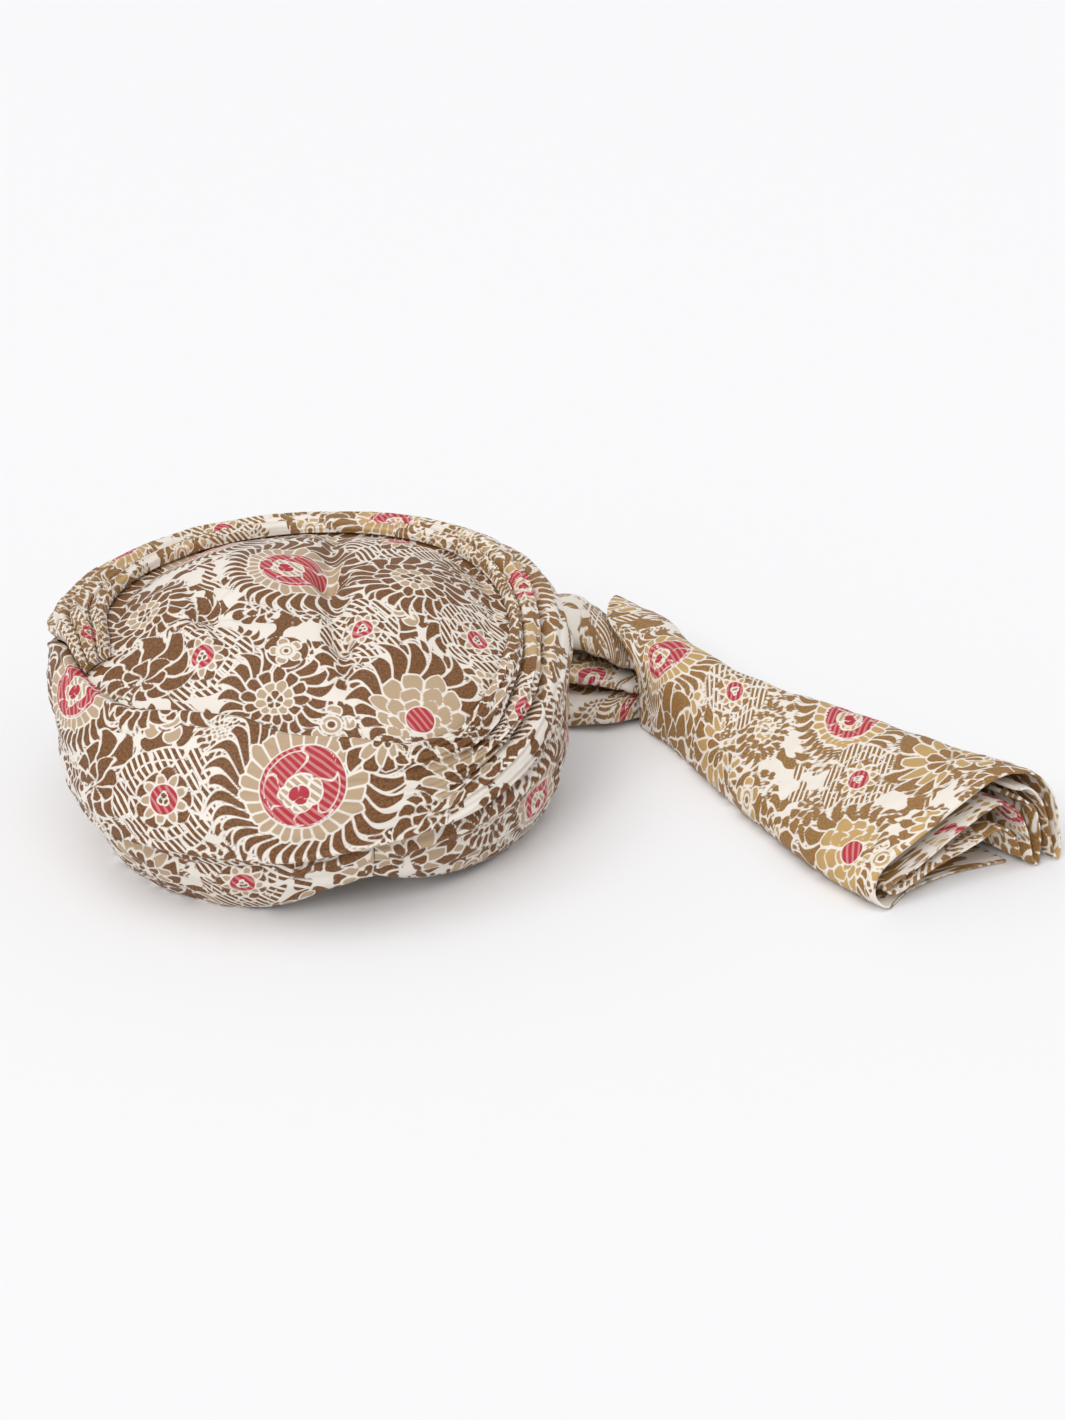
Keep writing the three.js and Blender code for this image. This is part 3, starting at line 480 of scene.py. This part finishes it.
def crown_rings(depth):
    """The puffed crown: its top, its skirt under the wraps, and the lining faces of both."""
    side, fine, coarse = 100, 0.4, 0.8
    turn = np.concatenate([np.arange(-180, -side, coarse), np.arange(-side, side, fine),
                           np.arange(side, 180, coarse)])[:, None]
    reach = np.linspace(0, 1, 101)[:-1] ** 0.85
    edge = crown_edge(turn)
    skirt = proud_point(turn, mix(edge, 1, np.linspace(1, 0, 27)), LOW_TURN + 0 * turn)
    lining = proud_point(turn, mix(edge, 1, np.array([0, 0.33, 0.67, 1])), SEAT + 0 * turn)
    top = crown_point(turn, reach[None], 0, depth)
    under = crown_point(turn, np.array([[0.95, 0.8, 0.64, 0.46, 0.32, 0.16, 0]]), CROWN_CLOTH, 0)
    rings = np.concatenate([top, skirt, lining, under], 1)
    out = arc_length(rings)
    last = len(reach) + skirt.shape[1] - 1
    out[:, last:] = np.minimum(out[:, last:], out[:, last:last + 1])
    angle = np.radians(turn)
    return rings, out * np.sin(angle), -out * np.cos(angle)


def flowing(rows, keys, count):
    """The keys' columns read along a smooth line through a table's rows, count steps to a row."""
    points = np.stack([rows[key] for key in keys], -1)
    padded = np.concatenate([2 * points[:1] - points[1:2], points, 2 * points[-1:] - points[-2:-1]])
    t = np.linspace(0, 1, count + 1)[:-1, None]
    parts = []
    for a, b, c, d in zip(padded, padded[1:], padded[2:], padded[3:]):
        parts.append(0.5 * (2 * b + (c - a) * t + (2 * a - 5 * b + 4 * c - d) * t ** 2
                            + (3 * b - a - 3 * c + d) * t ** 3))
    return np.concatenate([*parts, points[-1:]])


def tail_rings(folds, path, start, end, fine, depth, seed):
    """The tail's folded cloth: a section carried along its path, both faces a cloth's thickness apart."""
    stop = np.arange(start, end + 0.001, 1 / 26)[:, None]
    row = {name: along(path, name, stop) for name in path}
    shape = dict(zip(folds, flowing(folds, list(folds), fine).T))
    settled = rise_between(0, MORPH_STOPS, stop)
    width = np.hypot(row["farX"] - row["nearX"], row["farY"] - row["nearY"])
    reach_x, reach_y = (row["farX"] - row["nearX"]) / width, (row["farY"] - row["nearY"]) / width
    across = width * mix(shape.get("startAcross", shape["across"]), shape["across"], settled)
    up = row["height"] * mix(shape.get("startUp", shape["up"]), shape["up"], settled)
    up = np.maximum(up, TAIL_CLOTH / 2)
    heading = np.stack([np.gradient(across, axis=1), np.gradient(up, axis=1)], -1)
    heading /= np.maximum(np.linalg.norm(heading, axis=-1, keepdims=True), 1e-9)
    length = arc_length(np.stack([across, up], -1))
    middle = np.stack([(row["nearX"] + row["farX"]) / 2, (row["nearY"] + row["farY"]) / 2], -1)
    travel = arc_length(middle[:, 0][None])[0][:, None]
    # The soft wrinkles fade out near the floor and the section's two ends
    fade = 6
    from_ends = np.minimum(length, length[:, -1:] - length)
    soft = 0.9 * ripple(travel, length, 62, seed) + 0.35 * ripple(2 * travel, length, 26, seed + 1)
    soft = depth * soft * np.minimum(1, (up - 1) / fade) * np.minimum(1, from_ends / fade)
    # Only the laid-out stretch thins, bulges and leans at its ends
    laid = 1 if path is TAIL_PATH else 0
    half = TAIL_CLOTH / 2 * (1 - 0.5 * laid * rise_between(end - 0.2, end, stop))
    at_end = (stop / path["stop"][-1]) ** 4
    faces, lengths = [], []
    for sign, every in ((1, 1), (-1, 4)):
        side = soft + sign * half
        out = across - heading[..., 1] * side
        high = np.maximum(up + heading[..., 0] * side, 0)
        bulge = 4 * LIP_BULGE * (1 - settled) ** 2 * (out / width) * (1 - out / width)
        lean = high / row["height"] * (END_LEAN * at_end + bulge)
        back = laid * (shape.get("set", 0) * at_end + lean)
        face = np.stack([row["nearX"] + reach_x * out - reach_y * back,
                         row["nearY"] + reach_y * out + reach_x * back, high + row["lift"]], -1)
        keep = np.unique(np.append(np.arange(0, face.shape[1], every), face.shape[1] - 1))[::sign]
        faces.append(face[:, keep])
        lengths.append(length[:, keep])
    rings, lengths = np.concatenate(faces, 1), np.concatenate(lengths, 1)
    if laid:
        return rings, lengths, travel + 0 * lengths
    # The root bends and spreads, so its pattern follows each line of cloth along it
    run = arc_length(rings.swapaxes(0, 1)).T
    return rings, lengths, run + (run[-1].mean() - run[-1]) / 2


def core_rings():
    """The inner turns: a thick ring, wound cloth edges showing round the open hollow."""
    turn = np.linspace(-180, 180, 361)[:-1, None]
    rim = along(RIM, "level", turn)
    start = np.where(rim > 0, rim + 0.03, 0)
    outer = core_point(turn, start + np.linspace(0, 1, 61) * (CORE_TOP - start))
    top = outer[:, -1:, 2] - HOLLOW_DROP
    angle = np.radians(turn)
    share = np.linspace(1, 0, 49)
    wide = mix(HOLLOW_RIM[0], HOLLOW_TOP[0], share)
    deep = mix(HOLLOW_RIM[1], HOLLOW_TOP[1], share)
    tuck = 0.012 * np.abs(np.sin(np.pi * (5 * share + 0.02 * turn)))
    tuck = 1 + tuck * np.minimum(1, 8 * (1 - share) * share)
    wall = np.stack([wide * tuck * np.sin(angle), -deep * tuck * np.cos(angle),
                     mix(outer[:, :1, 2], top, share)], -1)
    rings = np.concatenate([outer, wall], 1)
    return rings, turn * GIRTH + 0 * rings[..., 0], arc_length(rings)


def skin(name, rings, u, v, looped=False, chained=False):
    """A cloth body over rings of points in millimetres, and each point's place on the cloth beside it.

    Looped, the last ring joins the first. Chained, a ring's last point doesn't join its first one."""
    count, size = rings.shape[:2]
    i = np.arange(count if looped else count - 1)[:, None]
    j = np.arange(size - 1 if chained else size)[None]
    k = (j + 1) % size
    here, ahead = i * size, (i + 1) % count * size
    quads = np.stack(np.broadcast_arrays(here + j, ahead + j, ahead + k, here + k), -1)
    quads = quads.reshape(-1, 4).tolist()
    if not looped:
        quads += [list(range(size)), list(range((count - 1) * size, count * size))]
    mesh = bpy.data.meshes.new(name)
    mesh.from_pydata(((rings.reshape(-1, 3) + MIDDLE) / 1000).tolist(), [], quads)
    cloth = {"u": u.reshape(-1).astype(float), "v": v.reshape(-1).astype(float)}
    piece = bpy.data.objects.new(name, mesh)
    bpy.context.scene.collection.objects.link(piece)
    return piece, cloth


def weave(piece, cloth, slot_name, material, *nodes):
    """Puts the pattern on a piece, closes its mesh and stands it in for its solid."""
    mesh = piece.data
    for name, parts in FIELDS.items():
        kept = mesh.attributes.new(name, "FLOAT_VECTOR", "POINT")
        values = np.stack([cloth[part] for part in parts], -1)
        kept.data.foreach_set("vector", values.astype(np.float32).ravel())
    corners = np.empty(len(mesh.loops), np.int32)
    mesh.loops.foreach_get("vertex_index", corners)
    flat = np.stack([cloth["u"], cloth["v"]], -1)[corners] / 1000
    mesh.uv_layers.new(name="Cloth").data.foreach_set("uv", flat.astype(np.float32).ravel())
    shaped = bmesh.new()
    shaped.from_mesh(mesh)
    bmesh.ops.remove_doubles(shaped, verts=shaped.verts, dist=MERGE)
    bmesh.ops.recalc_face_normals(shaped, faces=shaped.faces)
    bmesh.ops.triangulate(shaped, faces=[face for face in shaped.faces if len(face.verts) > 4])
    shaped.to_mesh(mesh)
    shaped.free()
    mesh.shade_smooth()
    mesh.set_sharp_from_angle(angle=np.radians(CREASE))
    mesh.materials.append(material)
    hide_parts(*nodes)
    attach(piece, "root")


# Rings of petals from the outside in, as shares of the flower's size: how many petals, where they start and
# end, how far they lean, how full and how pointed they are, how far round they reach, what they are woven
# in, and if they are hatched. A ring of no petals is a disc. Each flower starts with how far it stretches
# towards the side that it faces.
COLUMNS = "count inner outer swirl fill point spread layer hatch"
KINDS = {
    "lotus": (0.30, table(
        COLUMNS, (33, 0.40, 1.10, 2.9, 1.4, 1.1, 180, 0, 0),
        (25, 0.32, 0.64, 0.0, 1.8, 0.7, 180, 1, 0), (0, 0.00, 0.40, 0.0, 1.0, 1.0, 180, 2, 1),
        (6, 0.12, 0.40, 0.9, 1.8, 0.5, 180, 2, 1), (4, 0.04, 0.21, -0.3, 1.6, 0.6, 180, 1, 1),
        (3, 0.00, 0.11, 0.3, 1.6, 0.6, 180, 2, 0))),
    "rosette": (0.0, table(
        COLUMNS, (8, 0.36, 1.00, 0.3, 1.7, 0.5, 180, 0, 1), (11, 0.36, 0.72, 0.1, 1.7, 0.5, 180, 0, 1),
        (9, 0.18, 0.54, 0.0, 1.6, 0.6, 180, 0, 0), (9, 0.20, 0.44, 0.0, 0.9, 0.8, 180, 1, 0),
        (0, 0.00, 0.24, 0.0, 1.0, 1.0, 180, 2, 1), (3, 0.00, 0.12, 0.0, 1.4, 0.6, 180, 0, 0))),
    "dark": (0.15, table(
        COLUMNS, (21, 0.34, 1.05, 1.5, 1.5, 1.0, 180, 0, 0),
        (13, 0.20, 0.60, 0.2, 1.6, 0.8, 180, 0, 0), (9, 0.10, 0.36, 0.0, 1.5, 0.7, 180, 1, 0),
        (5, 0.02, 0.18, 0.0, 1.5, 0.6, 180, 0, 0))),
    "palmette": (0.45, table(
        COLUMNS, (23, 0.34, 1.05, 1.8, 1.5, 1.0, 160, 0, 0), (13, 0.28, 0.66, 0.1, 1.5, 0.8, 150, 1, 0),
        (9, 0.18, 0.48, 0.0, 1.4, 0.8, 140, 1, 0), (7, 0.10, 0.32, 0.0, 1.4, 0.8, 150, 1, 0),
        (0, 0.00, 0.19, 0.0, 1.0, 1.0, 180, 2, 1))),
    "lily": (0.45, table(
        COLUMNS, (15, 0.20, 1.00, 0.9, 1.9, 0.9, 150, 0, 0), (13, 0.16, 0.76, 0.3, 1.2, 1.0, 120, 1, 0),
        (9, 0.04, 0.40, 0.1, 1.5, 0.8, 150, 0, 0))),
    "flower": (0.0, table(
        COLUMNS, (5, 0.22, 1.00, 0.0, 1.8, 0.5, 180, 0, 0), (5, 0.42, 0.74, 0.0, 0.8, 0.6, 180, 1, 0),
        (0, 0.00, 0.30, 0.0, 1.0, 1.0, 180, 1, 0), (0, 0.00, 0.14, 0.0, 1.0, 1.0, 180, 0, 0))),
    "leaves": (0.4, table(
        COLUMNS, (11, 0.02, 1.00, 1.5, 1.9, 0.9, 170, 0, 0), (7, 0.02, 0.50, -0.8, 1.6, 0.8, 150, 0, 0))),
}
LAYERS = ("brown", "pale", "red")
SPRIGS = ("leaves", "dark", "flower", "leaves", "lily")  # the small ones that fill the cloth
OUTLINE = 0.38  # half the cream line left between two woven shapes
SOFT_EDGE = 0.3  # how far to either side a woven shape's edge fades
SWIRL_REACH = 2.6  # radians of a sine that a petal's lean follows along it
HATCH_PITCH = 3.2  # from one stripe of a hatched petal to the next
TWILL_PITCH = 0.9  # from one twill line to the next along a thread, coarser than silk's so that it shows
LINE_PITCH = 2 * np.pi / 10  # how far apart the wave texture's lines lie at scale 1, added over the axes
GILT_METAL = 0.25  # how metallic gilt weft looks, with the silk that it is wound on and woven into


def bloom(cloth, u, v, size, facing, kind):
    """Weaves one flower into the cloth, from its outer petals in to its heart."""
    x, y = cloth["u"] - u, cloth["v"] - v
    near = np.flatnonzero(x * x + y * y < (1.5 * size) ** 2)
    if not len(near):
        return
    stretch, rings = KINDS[kind]
    angle = np.arctan2(y[near], x[near]) - np.radians(facing)
    longer = 1 + stretch * np.cos(angle)
    away = np.maximum(np.hypot(x[near], y[near]), 0.05) / longer
    woven = [cloth[name][near] for name in LAYERS]
    hatched = cloth["hatch"][near]
    for count, inner, outer, swirl, fill, point, spread, layer, hatch in zip(*rings.values()):
        outer, inner = outer * size, inner * size
        if count:
            share = np.clip((away - inner) / (outer - inner), 0, 1)
            lean = swirl * np.sin(SWIRL_REACH * share)
            turn = count * angle / (2 * np.pi) + lean + 0.5 * (layer + hatch)
            off = np.abs(turn - np.round(turn))
            tip = outer - 0.12 * (outer - inner) * (1 + np.sin(2.3 * np.round(turn) + size))
            half = 0.46 * np.minimum(1, fill * (1 - share * share) ** point)
            # Petals in a millimetre of cloth, so that the lines between them keep one width
            leaning = swirl * SWIRL_REACH * np.cos(SWIRL_REACH * share) / (outer - inner)
            steep = np.hypot(count / (2 * np.pi * away), leaning)
            shape = np.minimum((half - off) / steep, np.minimum(tip - away, away - inner)) * longer
            opening = np.abs((angle + np.pi) % (2 * np.pi) - np.pi)
            shape = np.where(opening < np.radians(spread), shape, -np.abs(shape) - 1)
        else:
            shape = (outer - away) * longer
        woven = [np.minimum(values, -shape - 2 * OUTLINE) for values in woven]
        woven[int(layer)] = np.maximum(woven[int(layer)], shape - OUTLINE * (LAYERS[int(layer)] != "red"))
        hatched = np.where(shape > 0, hatch, hatched)
    for name, values in zip(LAYERS, woven):
        cloth[name][near] = values
    cloth["hatch"][near] = hatched


def wander(u, v, seed):
    """A wandering surface whose level lines scroll over the cloth."""
    return np.sin(u / 8.5 + 1.6 * np.sin(v / 11 + seed)) + np.sin(v / 7.5 + 1.8 * np.sin(u / 13 - seed))


def brocade_pattern(cloth, flowers, spacing, seed):
    """Scrolling stems and sprigs over the whole cloth, then its own flowers over them."""
    u, v = cloth["u"], cloth["v"]
    # Leafy stems follow the level lines of a wandering surface
    away = wander(u, v, seed)
    steep = np.hypot(wander(u + 0.5, v, seed) - wander(u - 0.5, v, seed),
                     wander(u, v + 0.5, seed) - wander(u, v - 0.5, seed))
    lobes = np.sin(0.42 * u + 0.25 * v) * np.sin(0.38 * v - 0.3 * u)
    cloth["brown"] = 3.0 + 1.9 * lobes - np.abs(away) / np.maximum(steep, 0.06)
    cloth["pale"] = np.full_like(u, -9.0)
    cloth["red"] = np.full_like(u, -9.0)
    cloth["hatch"] = (wander(v, u, seed + 2) > 0.5).astype(float)
    for row in range(int(np.floor(v.min() / spacing)), int(np.ceil(v.max() / spacing)) + 1):
        for column in range(int(np.floor(u.min() / spacing)), int(np.ceil(u.max() / spacing)) + 1):
            # A number between 0 and 1 that looks like chance and is the same each time
            chance = np.sin(12.9898 * column + 78.233 * row + seed) * 43758.5453 % 1
            at_u = (column + 0.5 * (row % 2) + 0.35 * (chance - 0.5)) * spacing
            at_v = (row + 0.35 * (chance * 7 % 1 - 0.5)) * spacing
            size = spacing * (0.42 + 0.2 * (chance * 5 % 1))
            bloom(cloth, at_u, at_v, size, 360 * (chance * 13 % 1), SPRIGS[int(chance * 31) % len(SPRIGS)])
    for flower in flowers:
        bloom(cloth, *flower)


def linear(code):
    """A screen colour such as #EFEAE3 as linear light, with alpha."""
    parts = [int(code[i:i + 2], 16) / 255 for i in (1, 3, 5)]
    return (*(p / 12.92 if p <= 0.04045 else ((p + 0.055) / 1.055) ** 2.4 for p in parts), 1.0)


def node(tree, kind, inputs=None, **choices):
    """A shader node of that kind, its choices made and its sockets filled or linked."""
    made = tree.nodes.new("ShaderNode" + kind)
    for name, value in choices.items():
        setattr(made, name, value)
    for key, value in (inputs or {}).items():
        socket = made.inputs[key]
        if isinstance(value, bpy.types.NodeSocket):
            tree.links.new(value, socket)
        else:
            socket.default_value = value
    return made


def brocade(name, colours):
    """Woven silk brocade: a smooth satin ground that catches the light, and matter figures of floss silk
    standing a hair above it. Gilt weft, where the pale petals have it, is thin metal strip on silk."""
    made = bpy.data.materials.new(name)
    made.use_nodes = True
    tree = made.node_tree
    tree.nodes.clear()
    figure = node(tree, "Attribute", attribute_name="figure").outputs["Vector"]
    shapes = node(tree, "SeparateXYZ", {0: figure}).outputs
    thread = node(tree, "Attribute", attribute_name="thread").outputs["Vector"]
    hatch = node(tree, "SeparateXYZ", {0: thread}).outputs["Z"]
    gilt = node(tree, "Attribute", attribute_name="metal").outputs["Fac"]
    masks = [node(tree, "MapRange", {"Value": shapes[axis], "From Min": -SOFT_EDGE, "From Max": SOFT_EDGE},
                  interpolation_type="SMOOTHSTEP").outputs["Result"] for axis in "XYZ"]
    # Ground shows between the stripes of the hatched petals
    stripes = node(tree, "TexWave", {"Vector": thread, "Scale": LINE_PITCH / (HATCH_PITCH * 2 ** 0.5)},
                   bands_direction="DIAGONAL").outputs["Fac"]
    hatching = node(tree, "MapRange", {"Value": stripes, "From Min": 0.55, "From Max": 0.75},
                    interpolation_type="SMOOTHSTEP").outputs["Result"]
    hatching = node(tree, "Math", {0: hatching, 1: hatch}, operation="MULTIPLY").outputs[0]
    # Floss that takes the dye unevenly
    shade = node(tree, "TexNoise", {"Vector": thread, "Scale": 0.8, "Detail": 3.0}).outputs["Fac"]
    shade = node(tree, "MapRange", {"Value": shade, "From Min": 0.35, "From Max": 0.65}).outputs["Result"]
    # Each figure's colour with and without gilt, then its hatching
    mixed = {}
    for part, plain, gilded in (("dark", colours.dark_brown, colours.brown),
                                ("light", colours.brown, colours.gilt_brown),
                                ("pale", colours.beige, colours.gold)):
        mixed[part] = node(tree, "Mix", {0: gilt, 6: plain[:], 7: gilded[:]}, data_type="RGBA").outputs[2]
    brown = node(tree, "Mix", {0: shade, 6: mixed["dark"], 7: mixed["light"]}, data_type="RGBA").outputs[2]
    ground = colours.ground[:]
    cloth = ground
    for mask, colour, between in ((masks[0], brown, ground), (masks[1], mixed["pale"], ground),
                                  (masks[2], colours.heart[:], colours.pale_heart[:])):
        figured = node(tree, "Mix", {0: hatching, 6: colour, 7: between}, data_type="RGBA").outputs[2]
        cloth = node(tree, "Mix", {0: mask, 6: cloth, 7: figured}, data_type="RGBA").outputs[2]
    # The satin ground is glossier than the floss woven over it
    raised = node(tree, "Math", {0: masks[0], 1: masks[1]}, operation="MAXIMUM").outputs[0]
    raised = node(tree, "Math", {0: raised, 1: masks[2]}, operation="MAXIMUM").outputs[0]
    dull = node(tree, "MapRange", {"Value": raised, "To Min": 0.36, "To Max": 0.58}).outputs["Result"]
    metal = node(tree, "Math", {0: masks[1], 1: gilt}, operation="MULTIPLY").outputs[0]
    metal = node(tree, "Math", {0: metal, 1: GILT_METAL}, operation="MULTIPLY").outputs[0]
    # Twill lines, then the figures' own thickness
    twill = node(tree, "TexWave", {"Vector": thread, "Scale": LINE_PITCH / TWILL_PITCH},
                 bands_direction="DIAGONAL").outputs["Fac"]
    bump = node(tree, "Bump", {"Height": twill, "Strength": 0.35, "Distance": 0.00008}).outputs["Normal"]
    bump = node(tree, "Bump", {"Height": raised, "Strength": 0.7, "Distance": 0.00022,
                               "Normal": bump}).outputs["Normal"]
    silk = node(tree, "BsdfPrincipled", {
        "Base Color": cloth, "Roughness": dull, "Metallic": metal, "IOR": 1.45, "Normal": bump,
        "Sheen Weight": 0.04, "Sheen Roughness": 0.4})
    node(tree, "OutputMaterial", {"Surface": silk.outputs["BSDF"]})
    return made


class TurbanSizes(bpy.types.PropertyGroup):
    soft_folds: FloatProperty(
        name="Soft folds", description="Depth of the soft wrinkles over the shaped folds",
        default=0.001, min=0, max=0.0015, unit="LENGTH")
    sprig_spacing: FloatProperty(
        name="Sprig spacing", description="From one woven sprig to the next",
        default=0.034, min=0.015, max=0.06, unit="LENGTH")


def colour_property(name, description, code):
    return FloatVectorProperty(name=name, description=description, subtype="COLOR", size=4, min=0, max=1,
                               default=linear(code))


class TurbanColours(bpy.types.PropertyGroup):
    ground: colour_property("Ground", "The cream satin ground", "#E8E0D5")
    brown: colour_property("Brown", "The brown figures", "#85592F")
    dark_brown: colour_property("Dark brown", "The brown figures where the floss lies dark", "#5B3616")
    gilt_brown: colour_property("Gilt brown", "The brown figures where gilt runs through them", "#9D7A44")
    beige: colour_property("Beige", "The pale petals of the wound cloth", "#B79D7F")
    gold: colour_property("Gold", "The gilt petals of the coils and the end", "#C3A067")
    heart: colour_property("Red", "The hearts of the large flowers", "#AE2634")
    pale_heart: colour_property("Pale red", "The lines across the red hearts", "#C67C78")


def wrinkle_depth():
    """The soft folds' depth in millimetres."""
    return bpy.context.scene.turban_sizes.soft_folds * 1000


def cloth_piece(name, slot_name, rings, u, v, flowers, seed, gilt=0, **joined):
    """Skins one piece of the cloth, weaves its pattern and seats it in the frame."""
    scene = bpy.context.scene
    piece, cloth = skin(name, rings, u, v, **joined)
    cloth["gilt"] = np.broadcast_to(gilt, rings.shape[:2]).reshape(-1).astype(float)
    brocade_pattern(cloth, flowers, scene.turban_sizes.sprig_spacing * 1000, seed)
    made_of = MATERIALS[slot_name]
    material = bpy.data.materials.get(made_of) or brocade(made_of, scene.turban_colours)
    weave(piece, cloth, slot_name, material, NODES[name])
    return piece


class TurbanInnerTurns(bpy.types.Operator):
    """Winds the inner turns round the open hollow"""
    bl_idname = "turban.inner_turns"
    bl_label = "Inner turns"

    def execute(self, context):
        rings, u, v = core_rings()
        piece = cloth_piece("Inner_turns", "inner_turns", rings, u, v, (), 31, looped=True)
        return {"FINISHED"}


class TurbanCrown(bpy.types.Operator):
    """Puffs the crown cloth over the hollow"""
    bl_idname = "turban.crown"
    bl_label = "Crown"

    def execute(self, context):
        rings, u, v = crown_rings(wrinkle_depth())
        piece = cloth_piece("Puffed_top", "brocade", rings, u, v, CROWN_FLOWERS, 3,
                            looped=True, chained=True)
        return {"FINISHED"}


class TurbanLowTurns(bpy.types.Operator):
    """Lays the low turns round the brow, the right and the back"""
    bl_idname = "turban.low_turns"
    bl_label = "Low turns"

    def execute(self, context):
        depth = wrinkle_depth()
        for name, rows, folds, flowers, seed, flat in (
                ("Brow_wrap", BROW_WRAP, BROW_FOLDS, BROW_FLOWERS, 11, (0.045, 0.28)),
                ("Side_wrap", SIDE_WRAP, SIDE_FOLDS, SIDE_FLOWERS, 14, (0.055, 0.135)),
                ("Back_wrap", BACK_WRAP, LOW_FOLDS, BACK_FLOWERS, 17, (0.075, 0.39))):
            rings, u, v = low_turn_rings(rows, folds, depth, seed)
            piece = cloth_piece(name, "brocade", rings, u, v, flowers, seed)
        return {"FINISHED"}


class TurbanFrontWrap(bpy.types.Operator):
    """Winds the broad front turn and the coils that it gathers into"""
    bl_idname = "turban.front_wrap"
    bl_label = "Front wrap and coils"

    def execute(self, context):
        rings, u, v = front_wrap_rings(wrinkle_depth())
        # The gilt weft shows from where the turn is gathered into coils
        gilt = COIL_GILT * rise_between(GILT_TURNS[0] * GIRTH, GILT_TURNS[1] * GIRTH, u)
        piece = cloth_piece("Front_wrap", "brocade", rings, u, v, FRONT_FLOWERS, 2, gilt)
        return {"FINISHED"}


class TurbanTail(bpy.types.Operator):
    """Lays out the pleated end of the cloth"""
    bl_idname = "turban.tail"
    bl_label = "Pleated end"

    def execute(self, context):
        depth = wrinkle_depth()
        for name, folds, path, start, fine, flowers, seed, flat in (
                ("Tail_root", ROOT_FOLDS, ROOT_PATH, 0, 11, ROOT_FLOWERS, 21, (0.24, 0.15)),
                ("Tail_outer", OUTER_FOLDS, TAIL_PATH, 0, 13, TAIL_FLOWERS, 24, (0.24, 0.265)),
                ("Tail_pleats", PLEAT_FOLDS, TAIL_PATH, 4.5, 13, PLEAT_FLOWERS, 27, (0.20, 0.15))):
            rings, u, v = tail_rings(folds, path, start, path["stop"][-1], fine, depth, seed)
            piece = cloth_piece(name, "gilt_brocade", rings, u, v, flowers, seed, gilt=1)
        return {"FINISHED"}


class TurbanStage(bpy.types.Operator):
    """Sets out the pale floor, the soft studio light and the camera"""
    bl_idname = "turban.stage"
    bl_label = "Floor, light and camera"

    def execute(self, context):
        scene = context.scene
        bpy.ops.mesh.primitive_plane_add(size=FLOOR_SIZE)
        floor = context.object
        floor.name = "Floor"
        # Matte paper, which scatters the light and shows no gloss
        paper = bpy.data.materials.new("White studio paper")
        paper.use_nodes = True
        sheet = paper.node_tree.nodes["Principled BSDF"].inputs
        sheet["Base Color"].default_value = linear(FLOOR_COLOUR)
        sheet["Roughness"].default_value = 0.9
        floor.data.materials.append(paper)
        for name, tilt, strength, spread in LIGHTS:
            light = bpy.data.lights.new(name, "SUN")
            light.energy = strength
            light.angle = np.radians(spread)
            lamp = bpy.data.objects.new(name, light)
            lamp.rotation_euler = np.radians(tilt)
            scene.collection.objects.link(lamp)
        world = bpy.data.worlds.new("Pale studio")
        world.use_nodes = True
        air = world.node_tree.nodes["Background"].inputs
        air["Color"].default_value = linear(STUDIO_COLOUR)
        air["Strength"].default_value = STUDIO_LIGHT
        scene.world = world
        scene.view_settings.view_transform = "Standard"
        eye = bpy.data.objects.new("Camera", bpy.data.cameras.new("Camera"))
        eye.data.lens = LENS
        eye.data.sensor_width = SENSOR
        tilt = np.radians(CAMERA_TILT)
        eye.rotation_euler = (np.pi / 2 - tilt, 0, 0)
        eye.location = (AIM + MIDDLE - CAMERA_AWAY * np.array([0, np.cos(tilt), -np.sin(tilt)])) / 1000
        scene.collection.objects.link(eye)
        scene.camera = eye
        return {"FINISHED"}


class TURBAN_PT_panel(bpy.types.Panel):
    bl_label = "Tied Turban"
    bl_space_type = "VIEW_3D"
    bl_region_type = "UI"
    bl_category = "Turban"

    def draw(self, context):
        for group in (context.scene.turban_sizes, context.scene.turban_colours):
            for name in group.__annotations__:
                self.layout.prop(group, name)
        for step in STEPS:
            self.layout.operator(step.bl_idname)


STEPS = (TurbanInnerTurns, TurbanCrown, TurbanLowTurns, TurbanFrontWrap, TurbanTail, TurbanStage)
CLASSES = (TurbanSizes, TurbanColours, *STEPS, TURBAN_PT_panel)


def register():
    for kind in CLASSES:
        bpy.utils.register_class(kind)
    bpy.types.Scene.turban_sizes = PointerProperty(type=TurbanSizes)
    bpy.types.Scene.turban_colours = PointerProperty(type=TurbanColours)


def unregister():
    del bpy.types.Scene.turban_sizes, bpy.types.Scene.turban_colours
    for kind in reversed(CLASSES):
        bpy.utils.unregister_class(kind)


def main():
    register()
    bpy.ops.turban.inner_turns()
    bpy.ops.turban.crown()
    bpy.ops.turban.low_turns()
    bpy.ops.turban.front_wrap()
    bpy.ops.turban.tail()
    bpy.ops.turban.stage()


if __name__ == "__main__":
    main()
